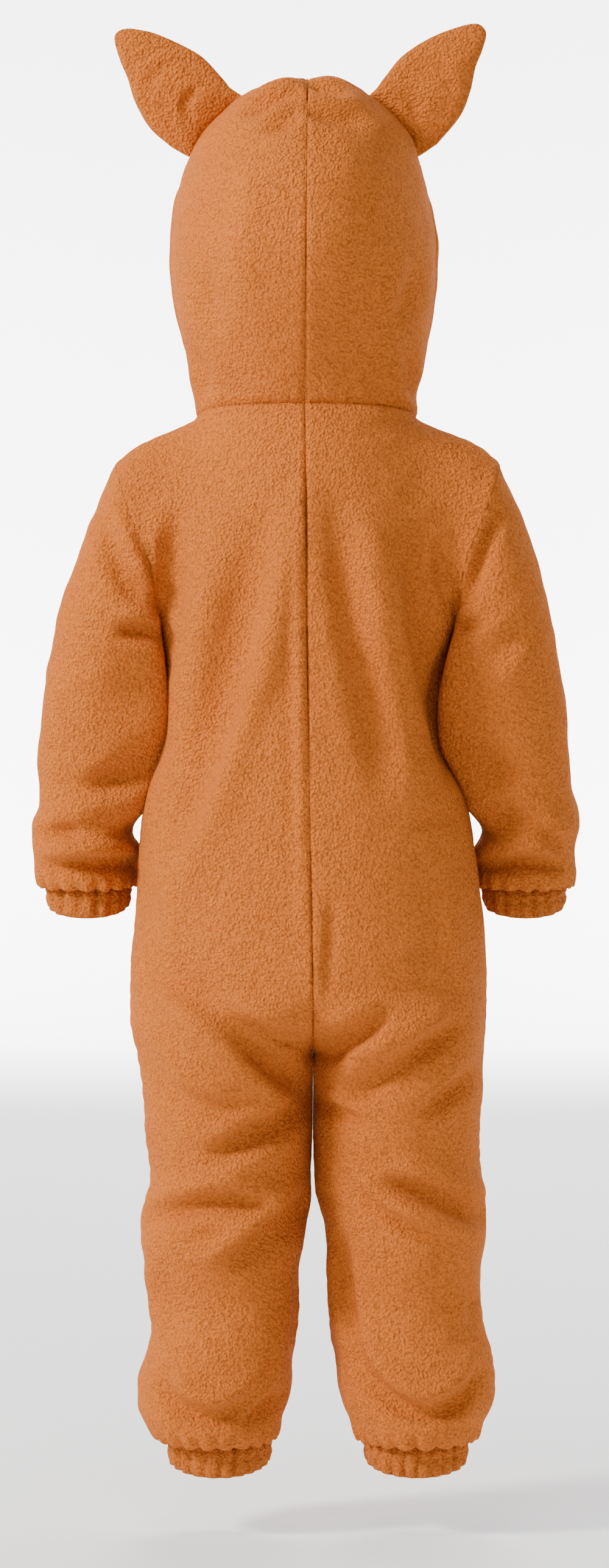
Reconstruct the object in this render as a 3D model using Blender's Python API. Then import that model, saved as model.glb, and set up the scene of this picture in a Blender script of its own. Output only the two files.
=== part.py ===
"""Toddler's hooded fleece jumpsuit with fox ears, as worn: hollow walls cut along the real seams.

Metres, +Z up. The wearer faces -Y, and +X is the wearer's left. The origin is at the middle of the
neck seam, between the shoulders, where the wearer carries the garment. Tables are in millimetres.
"""

from math import asin, atan2, cos, pi, radians, sin, sqrt

import bmesh
import bpy
import numpy as np
from mathutils import Matrix, Vector

MM = 0.001

# Driving sizes, in millimetres
CLOTH = 2.5
SEAM_GAP = 0.36
HALF_GAP = SEAM_GAP / 2
UNDERARM_Z = -142.0
CROTCH_Z = -409.0
CROTCH_RISE = 42.0
LEG_END_Z = -651.4
NECK_HALF_WIDTH = 70.0
NECK_HALF_DEPTH = 48.0
NECK_FRONT_DROP = 25.0
NECK_COLUMN = 0.5
ARMHOLE_HALF_DEPTH = 39.0
SHOULDER_Z = -35.0
CAP_END_Z = -170.0
SLEEVE_END_Z = -302.6
ZIP_END_Z = -330.0
ZIP_SLOT = 3.2
HOOD_TOP_Z = 211.0
EAR_HALF_THICKNESS = 6.0
EAR_Y = -13.5

# Half-widths of the body from the front plane of symmetry, read from the outline
BODY_WIDTHS = {
    "columns": ("z", "left", "right"),
    "rows": [
        (-142, 94.0, 94.0), (-165, 91.0, 88.0), (-191, 88.6, 83.8), (-218, 90.5, 86.5),
        (-234, 97.0, 94.5), (-252, 103.4, 101.8), (-278, 107.0, 106.0), (-313, 109.0, 110.5),
        (-358, 112.4, 114.0), (-388, 113.0, 113.6), (-409, 108.8, 112.0), (-436, 104.3, 110.9),
        (-464, 102.6, 109.4), (-491, 100.0, 110.9), (-513, 106.0, 113.6), (-528, 106.4, 113.4),
        (-550, 102.0, 110.5), (-568, 98.2, 110.9), (-590, 99.7, 113.6), (-604, 103.4, 117.6),
        (-619, 108.2, 119.0), (-632, 108.2, 117.4), (-643, 102.4, 110.0), (-651.4, 88.9, 102.0),
    ],
}

# Inner edges of the legs, and the centre seam above the crotch, as x
INNER_EDGES = {
    "columns": ("z", "left", "right"),
    "rows": [
        (0, 1.5, 1.5), (-139, 0.4, 0.4), (-263, -1.7, -1.7), (-392, -3.5, -3.5),
        (-409, -3.5, -3.5), (-436, -2.6, -4.4), (-464, -1.6, -5.0), (-491, -1.2, -5.4),
        (-513, -0.2, -9.6), (-530, 2.6, -12.3), (-550, 5.6, -13.2), (-568, 5.2, -14.2),
        (-590, 7.0, -14.6), (-605, 9.6, -17.7), (-620, 10.0, -19.3), (-632, 12.7, -22.5),
        (-643, 18.0, -28.5), (-651.4, 23.3, -36.2),
    ],
}

# Depth of the body, which the photo doesn't show: the usual cut on a general figure
BODY_DEPTHS = {
    "columns": ("z", "middle", "back", "front"),
    "rows": [
        (-142, 0, 75, 70), (-191, 0, 73, 74), (-252, 0, 76, 80), (-313, 0, 82, 82),
        (-358, 0, 86, 80), (-388, 0, 82, 74), (-409, 0, 76, 68), (-436, 0, 68, 62),
        (-491, -1, 57, 56), (-526, -3, 57, 58), (-568, -4, 49, 50), (-604, -1, 55, 54),
        (-632, 2, 56, 54), (-643, 4, 50, 49), (-651.4, 5, 40, 40),
    ],
}

# Shoulder seam from the neck to the shoulder point
SHOULDER = {
    "columns": ("share", "x", "z"),
    "rows": [(0, 70, 0), (0.36, 90, -12), (0.7, 108, -22), (1, 122.5, -35)],
}

# Armhole seam, and the way its rim leans: m is the direction from the inner to the outer edge
ARMHOLE_X = {
    "columns": ("z", "x"),
    "rows": [(-142, 94.2), (-126, 95.4), (-108, 97.4), (-95, 101), (-79, 108), (-51, 118), (-35, 122.5)],
}
ARMHOLE_RIM = {
    "columns": ("share", "mx", "my", "mz"),
    "rows": [(0, 0, 0, -1), (0.125, 0.15, 0.75, -0.65), (0.25, 0.3, 0.93, -0.2), (0.5, 0.5, 0.86, 0.05),
             (0.75, 0.6, 0.7, 0.35), (0.875, 0.68, 0.38, 0.6), (1, 0.74, 0, 0.67)],
}

# Sleeves below the cap: edges seen from behind, as distances from the middle, and their depth
SLEEVE_LEFT = {
    "columns": ("z", "inner", "outer", "middle_y", "half_depth"),
    "rows": [
        (-170, 93.4, 166.3, -5, 44), (-185, 91.6, 168.0, -7, 41), (-205, 92.4, 170.4, -9, 38),
        (-223, 96.4, 172.9, -12, 36), (-240, 102.4, 171.7, -15, 35), (-252, 106.4, 171.4, -17, 35),
        (-265, 111.4, 176.6, -19, 37), (-273, 113.2, 177.4, -20, 37), (-283, 109.6, 176.6, -21, 35),
        (-293, 109.6, 174.5, -22, 33), (-302.6, 113.3, 167.6, -23, 26),
    ],
}
SLEEVE_RIGHT = {
    "columns": ("z", "inner", "outer", "middle_y", "half_depth"),
    "rows": [
        (-170, 91.0, 161.5, -5, 43), (-185, 88.4, 163.4, -7, 41), (-205, 88.8, 166.4, -9, 38),
        (-223, 93.2, 168.0, -12, 36), (-240, 100.4, 169.0, -15, 35), (-252, 105.0, 172.3, -17, 36),
        (-265, 112.0, 173.6, -19, 37), (-273, 111.7, 171.4, -20, 36), (-283, 108.8, 170.6, -21, 34),
        (-293, 108.6, 171.2, -22, 33), (-302.6, 112.0, 165.6, -23, 26),
    ],
}

# Hood sections above the neck seam
HOOD = {
    "columns": ("z", "left", "right", "middle_y", "back", "front"),
    "rows": [
        (0, 70, 70, 0, 48, 48), (15, 72, 71, -4, 58, 50), (37, 77, 76, -9, 74, 54),
        (69, 83, 80.5, -13, 92, 60), (104, 86, 81.6, -14, 103, 66), (130, 84.2, 78.2, -14, 103, 70),
        (155, 78, 73, -14, 94, 70), (176, 68, 65, -13, 78, 66), (190, 55.5, 52.5, -12, 61, 56),
        (200, 42, 40, -11, 46, 43), (207.5, 25.5, 25, -11, 27, 26), (211, 0, 0, -11, 0, 0),
    ],
}

# How far round each side of the hood reaches, in degrees from the middle of the back
HOOD_EDGE = {
    "columns": ("z", "reach"),
    "rows": [(0, 162), (10, 146), (25, 126), (50, 110), (85, 103), (120, 103), (145, 112),
             (160, 132), (170, 158), (176, 179.6), (190, 179.8), (211, 179.9)],
}

# Ear outlines seen from behind, free edge only: up from the hood, round the tip and down to the hood
EAR_LEFT = {
    "columns": ("x", "z"),
    "rows": [(49.5, 206), (55.8, 213.7), (69.7, 227.5), (94, 239.5), (108, 243.2), (116.3, 243.7),
             (121.6, 241.5), (123.3, 236), (119.6, 223), (115, 212), (110, 196.4), (100.5, 180), (87, 168)],
}
EAR_RIGHT = {
    "columns": ("x", "z"),
    "rows": [(-44.5, 206), (-49.5, 213), (-60.8, 226.5), (-78, 237.7), (-95.4, 244.6), (-106.5, 247),
             (-112, 245), (-114.3, 239.5), (-111.4, 229), (-107.4, 218.8), (-104, 203.3), (-97.5, 187.6),
             (-83, 170)],
}

# Heights where the ears' roots follow the hood, from the lower foot to the upper one
EAR_ROOT = (162, 169, 176, 183, 190, 196, 200.5)

# Largest folds: a line seen from behind as (x, z) points, its depth (troughs are negative) and half-width.
# The side says which surface carries it.
BACK_FOLDS = [
    {"depth": -5.0, "width": 10, "line": [(75, -51), (82, -88), (84, -142)]},
    {"depth": -4.5, "width": 11, "line": [(36, -58), (49, -126), (68, -199), (87, -270)]},
    {"depth": 4.0, "width": 12, "line": [(20, -69), (40, -173), (54, -246), (82, -322)]},
    {"depth": -4.5, "width": 11, "line": [(-15, -42), (-23, -102), (-35, -215)]},
    {"depth": 3.5, "width": 10, "line": [(-38, -94), (-48, -150), (-58, -215)]},
    {"depth": -4.5, "width": 10, "line": [(-71, -69), (-64, -102), (-79, -191), (-88, -230)]},
    {"depth": -3.0, "width": 10, "line": [(-16, -313), (-15, -342), (-14, -373)]},
    {"depth": -4.0, "width": 9, "line": [(4, -405), (25, -403), (47, -388)]},
    {"depth": 3.0, "width": 11, "line": [(87, -383), (55, -403), (14, -428)]},
    {"depth": -3.5, "width": 10, "line": [(94, -408), (75, -436), (48, -443)]},
    {"depth": -3.5, "width": 9, "line": [(10, -445), (25, -453), (45, -464)]},
    {"depth": -4.5, "width": 11, "line": [(94, -508), (60, -499), (22, -503)]},
    {"depth": -3.5, "width": 9, "line": [(10, -522), (26, -533), (46, -540)]},
    {"depth": -4.0, "width": 10, "line": [(79, -622), (57, -637), (28, -616)]},
    {"depth": -4.0, "width": 9, "line": [(-11, -403), (-25, -394), (-47, -383)]},
    {"depth": -4.0, "width": 10, "line": [(-25, -431), (-52, -408), (-92, -388)]},
    {"depth": -4.5, "width": 11, "line": [(-42, -489), (-67, -506), (-109, -507)]},
    {"depth": -4.0, "width": 10, "line": [(-45, -622), (-71, -637), (-103, -618)]},
]
FRONT_FOLDS = [
    {"depth": -4.0, "width": 11, "line": [(62, -60), (58, -110), (48, -170)]},
    {"depth": -4.0, "width": 11, "line": [(-60, -64), (-54, -120), (-44, -176)]},
    {"depth": 3.0, "width": 12, "line": [(40, -210), (62, -262), (84, -318)]},
    {"depth": 3.0, "width": 12, "line": [(-38, -220), (-62, -270), (-86, -312)]},
    {"depth": -4.0, "width": 10, "line": [(14, -400), (45, -386), (86, -372)]},
    {"depth": -4.0, "width": 10, "line": [(-18, -398), (-50, -382), (-92, -376)]},
    {"depth": -4.0, "width": 11, "line": [(92, -500), (58, -512), (24, -506)]},
    {"depth": -4.0, "width": 11, "line": [(-100, -504), (-66, -516), (-34, -508)]},
    {"depth": -4.0, "width": 10, "line": [(82, -620), (56, -634), (30, -620)]},
    {"depth": -4.0, "width": 10, "line": [(-104, -622), (-72, -636), (-46, -620)]},
]

# Gathered cuffs: the middle of the top and bottom edges, how the back dips, and the number of gathers
WRIST = {"height": 14.0, "top_dip": 3.0, "bottom_dip": 8.0, "gathers": 16, "wave": 1.5, "taper": 0.97}
ANKLE = {"height": 16.0, "top_dip": 3.0, "bottom_dip": 7.0, "gathers": 22, "wave": 1.7, "taper": 0.98}

# How finely the walls are divided
PANEL_COLUMNS = 10
YOKE_ROWS = 8
TORSO_ROWS = 9
CROTCH_ROWS = 4
LEG_ROWS = 12
SLEEVE_COLUMNS = 2 * YOKE_ROWS
CAP_ROWS = 5
HOOD_COLUMNS = 9
HOOD_ROWS = 15
EAR_RINGS = 4
POINTS_A_GATHER = 4
CUFF_ROWS = 2

# Zip at the centre front
TAPE_WIDTH = 10.0
TAPE_THICKNESS = 0.8
CHAIN_SINK = 0.5
NECK_TUCK = 1.4
PIN_RADIUS = 0.75
EYE_CLEARANCE = 0.4
PULL_LENGTH = 20.0
PULL_WIDTH = 3.6
PULL_THICKNESS = 1.3
PIVOT_HEIGHT = 4.6
PLATE_THICKNESS = 1.6
LUG_WIDTH = 1.2
EYE_RADIUS = 2.2
PULL_REST = 8.0


def column(table, name):
    """One named column of a table."""
    index = table["columns"].index(name)
    return np.array([row[index] for row in table["rows"]], dtype=float)


def smooth_read(table, key, name, at):
    """The named column read at one key, along a smooth curve through the rows."""
    keys = column(table, key)
    values = column(table, name)
    if keys[0] > keys[-1]:
        keys = keys[::-1]
        values = values[::-1]
    at = min(max(at, keys[0]), keys[-1])
    i = min(max(int(np.searchsorted(keys, at)) - 1, 0), len(keys) - 2)
    step = keys[i + 1] - keys[i]
    rise = values[i + 1] - values[i]
    before = (values[i] - values[i - 1]) / (keys[i] - keys[i - 1]) if i > 0 else rise / step
    after = (values[i + 2] - values[i + 1]) / (keys[i + 2] - keys[i + 1]) if i + 3 <= len(keys) else rise / step
    slope = rise / step
    start = 0.5 * (before + slope) if before * slope > 0 else 0.0
    end = 0.5 * (after + slope) if after * slope > 0 else 0.0
    t = (at - keys[i]) / step
    return (values[i] * (1 + 2 * t) * (1 - t) ** 2 + step * start * t * (1 - t) ** 2
            + values[i + 1] * t * t * (3 - 2 * t) + step * end * t * t * (t - 1))


def unit(vector):
    return vector / max(np.linalg.norm(vector), 1e-12)


def ease(t):
    """0 to 1 with level ends."""
    t = min(max(t, 0.0), 1.0)
    return t * t * (3 - 2 * t)


def line_distance(x, z, line):
    """Distance in the back view from a point to a fold's line."""
    best = 1e9
    for (x0, z0), (x1, z1) in zip(line, line[1:]):
        dx, dz = x1 - x0, z1 - z0
        t = ((x - x0) * dx + (z - z0) * dz) / (dx * dx + dz * dz)
        t = min(max(t, 0.0), 1.0)
        best = min(best, sqrt((x - x0 - t * dx) ** 2 + (z - z0 - t * dz) ** 2))
    return best


def relief(folds, x, z):
    """How far the folds push the cloth out at one place."""
    total = 0.0
    for fold in folds:
        distance = line_distance(x, z, fold["line"])
        total += fold["depth"] * np.exp(-(distance / fold["width"]) ** 2)
    return min(max(total, -6.0), 6.0)


def new_material(name, colour, roughness, metallic=0.0):
    material = bpy.data.materials.new(name)
    material.use_nodes = True
    shader = material.node_tree.nodes["Principled BSDF"]
    shader.inputs["Base Color"].default_value = (*colour, 1.0)
    shader.inputs["Roughness"].default_value = roughness
    shader.inputs["Metallic"].default_value = metallic
    return material


def add_object(name, mesh, material, collection):
    mesh.materials.append(material)
    thing = bpy.data.objects.new(name, mesh)
    collection.objects.link(thing)
    return thing


def wall(name, outer, inner, closed, material, collection):
    """A closed wall between two grids of points, in millimetres. A closed wall runs round a ring."""
    rows, columns = len(outer), len(outer[0])
    builder = bmesh.new()
    skins = [[[builder.verts.new(np.asarray(p) * MM) for p in row] for row in skin] for skin in (outer, inner)]
    spans = columns if closed else columns - 1
    for skin in skins:
        for r in range(rows - 1):
            for c in range(spans):
                d = (c + 1) % columns
                builder.faces.new((skin[r][c], skin[r][d], skin[r + 1][d], skin[r + 1][c]))
    for r in (0, rows - 1):
        for c in range(spans):
            d = (c + 1) % columns
            builder.faces.new((skins[0][r][c], skins[0][r][d], skins[1][r][d], skins[1][r][c]))
    if not closed:
        for c in (0, columns - 1):
            for r in range(rows - 1):
                builder.faces.new((skins[0][r][c], skins[0][r + 1][c], skins[1][r + 1][c], skins[1][r][c]))
    bmesh.ops.remove_doubles(builder, verts=builder.verts, dist=1e-6)
    bmesh.ops.recalc_face_normals(builder, faces=builder.faces)
    bmesh.ops.triangulate(builder, faces=builder.faces)
    mesh = bpy.data.meshes.new(name)
    builder.to_mesh(mesh)
    builder.free()
    mesh.shade_smooth()
    return add_object(name, mesh, material, collection)


# Body panels

def side_name(side):
    return "left" if side > 0 else "right"


def crotch_share(z):
    """0 above the crotch zone, 1 in the legs."""
    return min(max((CROTCH_Z + CROTCH_RISE - z) / CROTCH_RISE, 0.0), 1.0)


def front_edge(z):
    """Half the slot that the front panels leave for the zip, closing below it."""
    return HALF_GAP + (ZIP_SLOT - HALF_GAP) * ease((z - ZIP_END_Z + 12.0) / 24.0)


def section_shape(side, z):
    """Centre and radius across, and the angle where the half-section meets the centre seam."""
    out = smooth_read(BODY_WIDTHS, "z", side_name(side), z)
    edge = side * smooth_read(INNER_EDGES, "z", side_name(side), z)
    share = crotch_share(z)
    span = out - edge
    radius = span / (1 + share)
    return edge + share * radius, radius, share


def section_point(side, face, z, u):
    """A point of the torso or leg section: u runs from the centre (or inside leg) seam to the side."""
    centre, radius, share = section_shape(side, z)
    slot = front_edge(z) if face < 0 else HALF_GAP
    slot = slot * (1 - ease((CROTCH_Z - z) / 20.0))
    start = asin(min(max(slot / radius - share, -1.0), 1.0))
    angle = start + (pi / 2 - start) * u
    middle = smooth_read(BODY_DEPTHS, "z", "middle", z)
    depth = smooth_read(BODY_DEPTHS, "z", "back" if face > 0 else "front", z)
    reach = max(depth * cos(angle), HALF_GAP)
    point = np.array([side * (centre + radius * sin(angle)), middle + face * reach, z])
    flat = unit(np.array([side * sin(angle) / radius, face * cos(angle) / depth, 0.0]))
    return point, flat


def armhole_point(side, face, share):
    """The armhole seam: share 0 is the underarm, 1 the shoulder point."""
    middle_z = (UNDERARM_Z + SHOULDER_Z) / 2
    half = (SHOULDER_Z - UNDERARM_Z) / 2
    z = middle_z - half * cos(pi * share)
    x = smooth_read(ARMHOLE_X, "z", "x", z)
    y = max(ARMHOLE_HALF_DEPTH * sin(pi * share), HALF_GAP)
    return np.array([side * x, face * y, z])


def armhole_rim(side, face, share):
    """Direction across the rim of the armhole, shared by the panel and the sleeve."""
    lean = [smooth_read(ARMHOLE_RIM, "share", name, share) for name in ("mx", "my", "mz")]
    return unit(np.array([side * lean[0], face * lean[1], lean[2]]))


def neck_point(side, turn):
    """The neck seam: turn is 0 at the middle of the back and pi at the middle of the front."""
    drop = NECK_FRONT_DROP * ((1 - cos(turn)) / 2) ** 2
    x = smooth_read(INNER_EDGES, "z", "left", 0) * cos(turn / 2) ** 2
    return np.array([side * NECK_HALF_WIDTH * sin(turn) + x, NECK_HALF_DEPTH * cos(turn), -drop])


def neck_rim(side, turn):
    """Direction across the rim of the neck seam, shared by the panels and the hood."""
    out = unit(np.array([side * sin(turn) / NECK_HALF_WIDTH, cos(turn) / NECK_HALF_DEPTH, 0.0]))
    return unit(out + np.array([0, 0, 0.45]))


def top_point(side, face, u):
    """The top edge of a body panel: neck seam, then shoulder seam."""
    neck_side = neck_point(side, pi / 2)
    if u <= NECK_COLUMN:
        first = asin((front_edge(0.0) if face < 0 else HALF_GAP) / NECK_HALF_WIDTH)
        turn = max(first, pi / 2 * u / NECK_COLUMN)
        turn = turn if face > 0 else pi - turn
        point = neck_point(side, turn)
        point[1] = face * max(abs(point[1]), HALF_GAP)
        return point
    share = (u - NECK_COLUMN) / (1 - NECK_COLUMN)
    x = smooth_read(SHOULDER, "share", "x", share)
    z = smooth_read(SHOULDER, "share", "z", share) + neck_side[2] * (1 - share)
    return np.array([side * x + neck_side[0] * (1 - share) - side * NECK_HALF_WIDTH * (1 - share), face * HALF_GAP, z])


def profile_point(side, face, share, u):
    """From the underarm level (share 0) up to the top edge (share 1) along a rounded profile."""
    bottom, _ = section_point(side, face, UNDERARM_Z, u)
    top = top_point(side, face, u)
    fullness = 0.74 + 0.26 * ease((u - NECK_COLUMN) / 0.2)
    turn = share * pi / 2 * fullness
    rise = sin(turn) / sin(pi / 2 * fullness)
    pull = (cos(turn) - cos(pi / 2 * fullness)) / (1 - cos(pi / 2 * fullness))
    x = bottom[0] + (top[0] - bottom[0]) * share
    return np.array([x, top[1] + (bottom[1] - top[1]) * pull, bottom[2] + (top[2] - bottom[2]) * rise])


def yoke_point(side, face, share, u):
    """The panel above the underarm, drawn to the armhole at its outer edge."""
    point = profile_point(side, face, share, u)
    correction = armhole_point(side, face, share) - profile_point(side, face, share, 1.0)
    return point + u ** 3 * correction


def panel_point(side, face, zone, t, u):
    """A point of a body panel. The zones run down from the shoulder to the ankle, each with t from 0 to 1."""
    if zone == "yoke":
        return yoke_point(side, face, 1 - t, u)
    if zone == "torso":
        z = UNDERARM_Z + (CROTCH_Z + CROTCH_RISE - UNDERARM_Z) * t
    elif zone == "crotch":
        z = CROTCH_Z + CROTCH_RISE - CROTCH_RISE * sin(t * pi / 2)
    else:
        z = CROTCH_Z + (LEG_END_Z - CROTCH_Z) * t
    point, _ = section_point(side, face, z, u)
    if zone == "leg":
        dip = ANKLE["top_dip"] * ease((t - 0.75) / 0.25)
        depth = smooth_read(BODY_DEPTHS, "z", "back", z)
        point[2] -= dip * (point[1] - smooth_read(BODY_DEPTHS, "z", "middle", z)) / depth
    return point


def panel_normal(side, face, zone, t, u):
    """The outward direction at one place of a body panel."""
    step = 0.01
    t0, t1 = max(t - step, 0.0), min(t + step, 1.0)
    u0, u1 = max(u - 3 * step, 0.0), min(u + 3 * step, 1.0)
    down = unit(panel_point(side, face, zone, t1, u) - panel_point(side, face, zone, t0, u))
    across = unit(panel_point(side, face, zone, t, u1) - panel_point(side, face, zone, t, u0))
    normal = np.cross(across, down) * side * face
    if zone == "yoke":
        return unit(normal) * (1 if np.dot(normal, (0, face, 0.8)) > 0 else -1)
    flat = section_point(side, face, panel_point(side, face, zone, t, u)[2], u)[1]
    if zone == "leg" and t == 1.0:
        return flat
    normal = normal * (1 if np.dot(normal, flat) > 0 else -1)
    weight = min(2 * np.linalg.norm(normal), 1.0) if zone != "crotch" else 0.0
    return unit(flat + weight * (unit(normal) - flat))


def panel_rows():
    """Zone and share of each row of a body panel, from the top down."""
    rows = [("yoke", i / YOKE_ROWS) for i in range(YOKE_ROWS + 1)]
    rows += [("torso", i / TORSO_ROWS) for i in range(1, TORSO_ROWS + 1)]
    rows += [("crotch", i / CROTCH_ROWS) for i in range(1, CROTCH_ROWS + 1)]
    rows += [("leg", i / LEG_ROWS) for i in range(1, LEG_ROWS + 1)]
    return rows


def panel_skins(side, face, rows, columns):
    """Outer and inner points of a body panel."""
    folds = BACK_FOLDS if face > 0 else FRONT_FOLDS
    outer, inner = [], []
    for zone, t in rows:
        outer_row, inner_row = [], []
        for c in range(columns + 1):
            u = c / columns
            point = panel_point(side, face, zone, t, u)
            normal = panel_normal(side, face, zone, t, u)
            calm = ease((1 - u) / 0.2)
            if zone == "yoke":
                calm *= ease(t / 0.5)
            if zone == "leg":
                calm *= ease((1 - t) / 0.06) * ease((u + 0.02) / 0.2)
            if face < 0 and zone != "leg":
                calm *= ease(u / 0.2)
            point = point + normal * relief(folds, point[0], point[2]) * calm
            deep = point - normal * CLOTH
            if zone == "yoke" and c == columns:
                deep = point - armhole_rim(side, face, 1 - t) * CLOTH
            elif zone == "yoke" and t == 0.0 and u <= NECK_COLUMN:
                turn = u / NECK_COLUMN * pi / 2
                deep = point - neck_rim(side, turn if face > 0 else pi - turn) * CLOTH
            if c == columns or (zone == "yoke" and t == 0.0 and u >= NECK_COLUMN) or (zone == "leg" and c == 0):
                deep[1] = point[1]
            if c == 0 and zone in ("yoke", "torso"):
                deep[0] = point[0]
            if zone == "yoke" and c == columns:
                deep = point - armhole_rim(side, face, 1 - t) * CLOTH
                deep[1] = face * max(face * deep[1], HALF_GAP)
            outer_row.append(point)
            inner_row.append(deep)
        outer.append(outer_row)
        inner.append(inner_row)
    return outer, inner


def add_panels(material, collection):
    for side in (1, -1):
        for face, word in ((1, "back"), (-1, "front")):
            outer, inner = panel_skins(side, face, panel_rows(), PANEL_COLUMNS)
            wall(f"{word}_{side_name(side)}", outer, inner, False, material, collection)


# Sleeves and cuffs

def loop_place(angle):
    """Face and share of the armhole for an angle round the sleeve: 0 at the top, pi at the underarm."""
    angle = angle % (2 * pi)
    if angle <= pi:
        return 1, 1 - angle / pi
    return -1, (angle - pi) / pi


def sleeve_ring(side, z, angle):
    """A point of the sleeve's level section."""
    table = SLEEVE_LEFT if side > 0 else SLEEVE_RIGHT
    inner = smooth_read(table, "z", "inner", z)
    outer = smooth_read(table, "z", "outer", z)
    middle_y = smooth_read(table, "z", "middle_y", z)
    half_depth = smooth_read(table, "z", "half_depth", z)
    half_width = (outer - inner) / 2
    dip = WRIST["top_dip"] * ease((-240 - z) / (-240 - SLEEVE_END_Z))
    x = (inner + outer) / 2 + half_width * cos(angle)
    return np.array([side * x, middle_y + half_depth * sin(angle), z - dip * sin(angle)])


def sleeve_start(side, angle):
    """The sleeve's edge in the armhole, and the direction across its rim."""
    face, share = loop_place(angle)
    at = armhole_point(side, face, share)
    step = 0.01
    face0, share0 = loop_place(angle - step)
    face1, share1 = loop_place(angle + step)
    along = unit(armhole_point(side, face1, share1) - armhole_point(side, face0, share0))
    rim = armhole_rim(side, face, share)
    away = unit(np.cross(along, rim))
    if np.dot(away, (side * 0.96, 0, -0.27)) < 0:
        away = -away
    return at + away * SEAM_GAP, rim


def sleeve_point(side, zone, t, angle):
    """A point of the sleeve: the cap fans out of the armhole, the arm has level sections."""
    if zone == "arm":
        return sleeve_ring(side, CAP_END_Z + (SLEEVE_END_Z - CAP_END_Z) * t, angle)
    start, _ = sleeve_start(side, angle)
    end = sleeve_ring(side, CAP_END_Z, angle)
    swell = sin(pi * t)
    point = start + (end - start) * t
    point[0] += side * 6.0 * swell * ((1 + cos(angle)) / 2) ** 2
    point[1] += 4.0 * swell * sin(angle)
    return point


def sleeve_normal(side, zone, t, angle):
    step = 0.02
    t0, t1 = max(t - step, 0.0), min(t + step, 1.0)
    down = sleeve_point(side, zone, t1, angle) - sleeve_point(side, zone, t0, angle)
    round_ = sleeve_point(side, zone, t, angle + step) - sleeve_point(side, zone, t, angle - step)
    normal = unit(np.cross(down, round_)) * side
    if zone == "arm" and t == 1.0:
        normal[2] = 0.0
    return unit(normal)


def sleeve_rows():
    table_rows = [(CAP_END_Z - z) / (CAP_END_Z - SLEEVE_END_Z) for z in column(SLEEVE_LEFT, "z")[1:]]
    return [("cap", i / CAP_ROWS) for i in range(CAP_ROWS + 1)] + [("arm", share) for share in table_rows]


def add_sleeves(material, collection):
    for side in (1, -1):
        outer, inner = [], []
        for zone, t in sleeve_rows():
            outer_row, inner_row = [], []
            for c in range(SLEEVE_COLUMNS):
                angle = 2 * pi * c / SLEEVE_COLUMNS
                point = sleeve_point(side, zone, t, angle)
                rim = sleeve_normal(side, zone, t, angle)
                if zone == "cap" and t == 0.0:
                    rim = sleeve_start(side, angle)[1]
                outer_row.append(point)
                inner_row.append(point - rim * CLOTH)
            outer.append(outer_row)
            inner.append(inner_row)
        wall(f"sleeve_{side_name(side)}", outer, inner, True, material, collection)


def cuff_skins(middle, half_width, half_depth, top_z, cuff, rows, points_a_gather):
    """Outer and inner points of a gathered cuff whose back dips below its front."""
    outer, inner = [], []
    count = cuff["gathers"] * points_a_gather
    for r in range(rows + 1):
        t = r / rows
        outer_row, inner_row = [], []
        for c in range(count):
            angle = 2 * pi * c / count
            wave = cuff["wave"] * (0.45 + 0.55 * t) * cos(cuff["gathers"] * angle)
            size = 1 + (cuff["taper"] - 1) * t
            dip = cuff["top_dip"] + (cuff["bottom_dip"] - cuff["top_dip"]) * t
            z = top_z - SEAM_GAP - cuff["height"] * t - dip * sin(angle)
            out = unit(np.array([cos(angle) / half_width, sin(angle) / half_depth, 0.0]))
            at = np.array([middle[0] + half_width * size * cos(angle),
                           middle[1] + half_depth * size * sin(angle), z])
            outer_row.append(at + out * (wave - cuff["wave"] * 0.4))
            inner_row.append(at + out * (wave - cuff["wave"] * 0.4 - CLOTH))
        outer.append(outer_row)
        inner.append(inner_row)
    return outer, inner


def wrist_place(side):
    """Middle and half sizes of the sleeve's end."""
    table = SLEEVE_LEFT if side > 0 else SLEEVE_RIGHT
    last = dict(zip(table["columns"], table["rows"][-1]))
    middle = (side * (last["inner"] + last["outer"]) / 2, last["middle_y"])
    return middle, (last["outer"] - last["inner"]) / 2, last["half_depth"]


def ankle_place(side):
    """Middle and half sizes of the leg's end."""
    centre, radius, _ = section_shape(side, LEG_END_Z)
    middle_y = smooth_read(BODY_DEPTHS, "z", "middle", LEG_END_Z)
    return (side * centre, middle_y), radius, smooth_read(BODY_DEPTHS, "z", "back", LEG_END_Z)


def add_cuffs(material, collection):
    for side in (1, -1):
        middle, half_width, half_depth = wrist_place(side)
        skins = cuff_skins(middle, half_width, half_depth, SLEEVE_END_Z, WRIST, CUFF_ROWS, POINTS_A_GATHER)
        wall(f"wrist_cuff_{side_name(side)}", *skins, True, material, collection)
        middle, half_width, half_depth = ankle_place(side)
        skins = cuff_skins(middle, half_width, half_depth, LEG_END_Z, ANKLE, CUFF_ROWS, POINTS_A_GATHER)
        wall(f"ankle_cuff_{side_name(side)}", *skins, True, material, collection)


# Hood and ears

def hood_height(share):
    """Height of a row of the hood: rows are even along its outline, so they crowd near the crown."""
    return HOOD_TOP_Z * sin(share * pi / 2) ** 0.95 if share > 0 else 0.0


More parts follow.
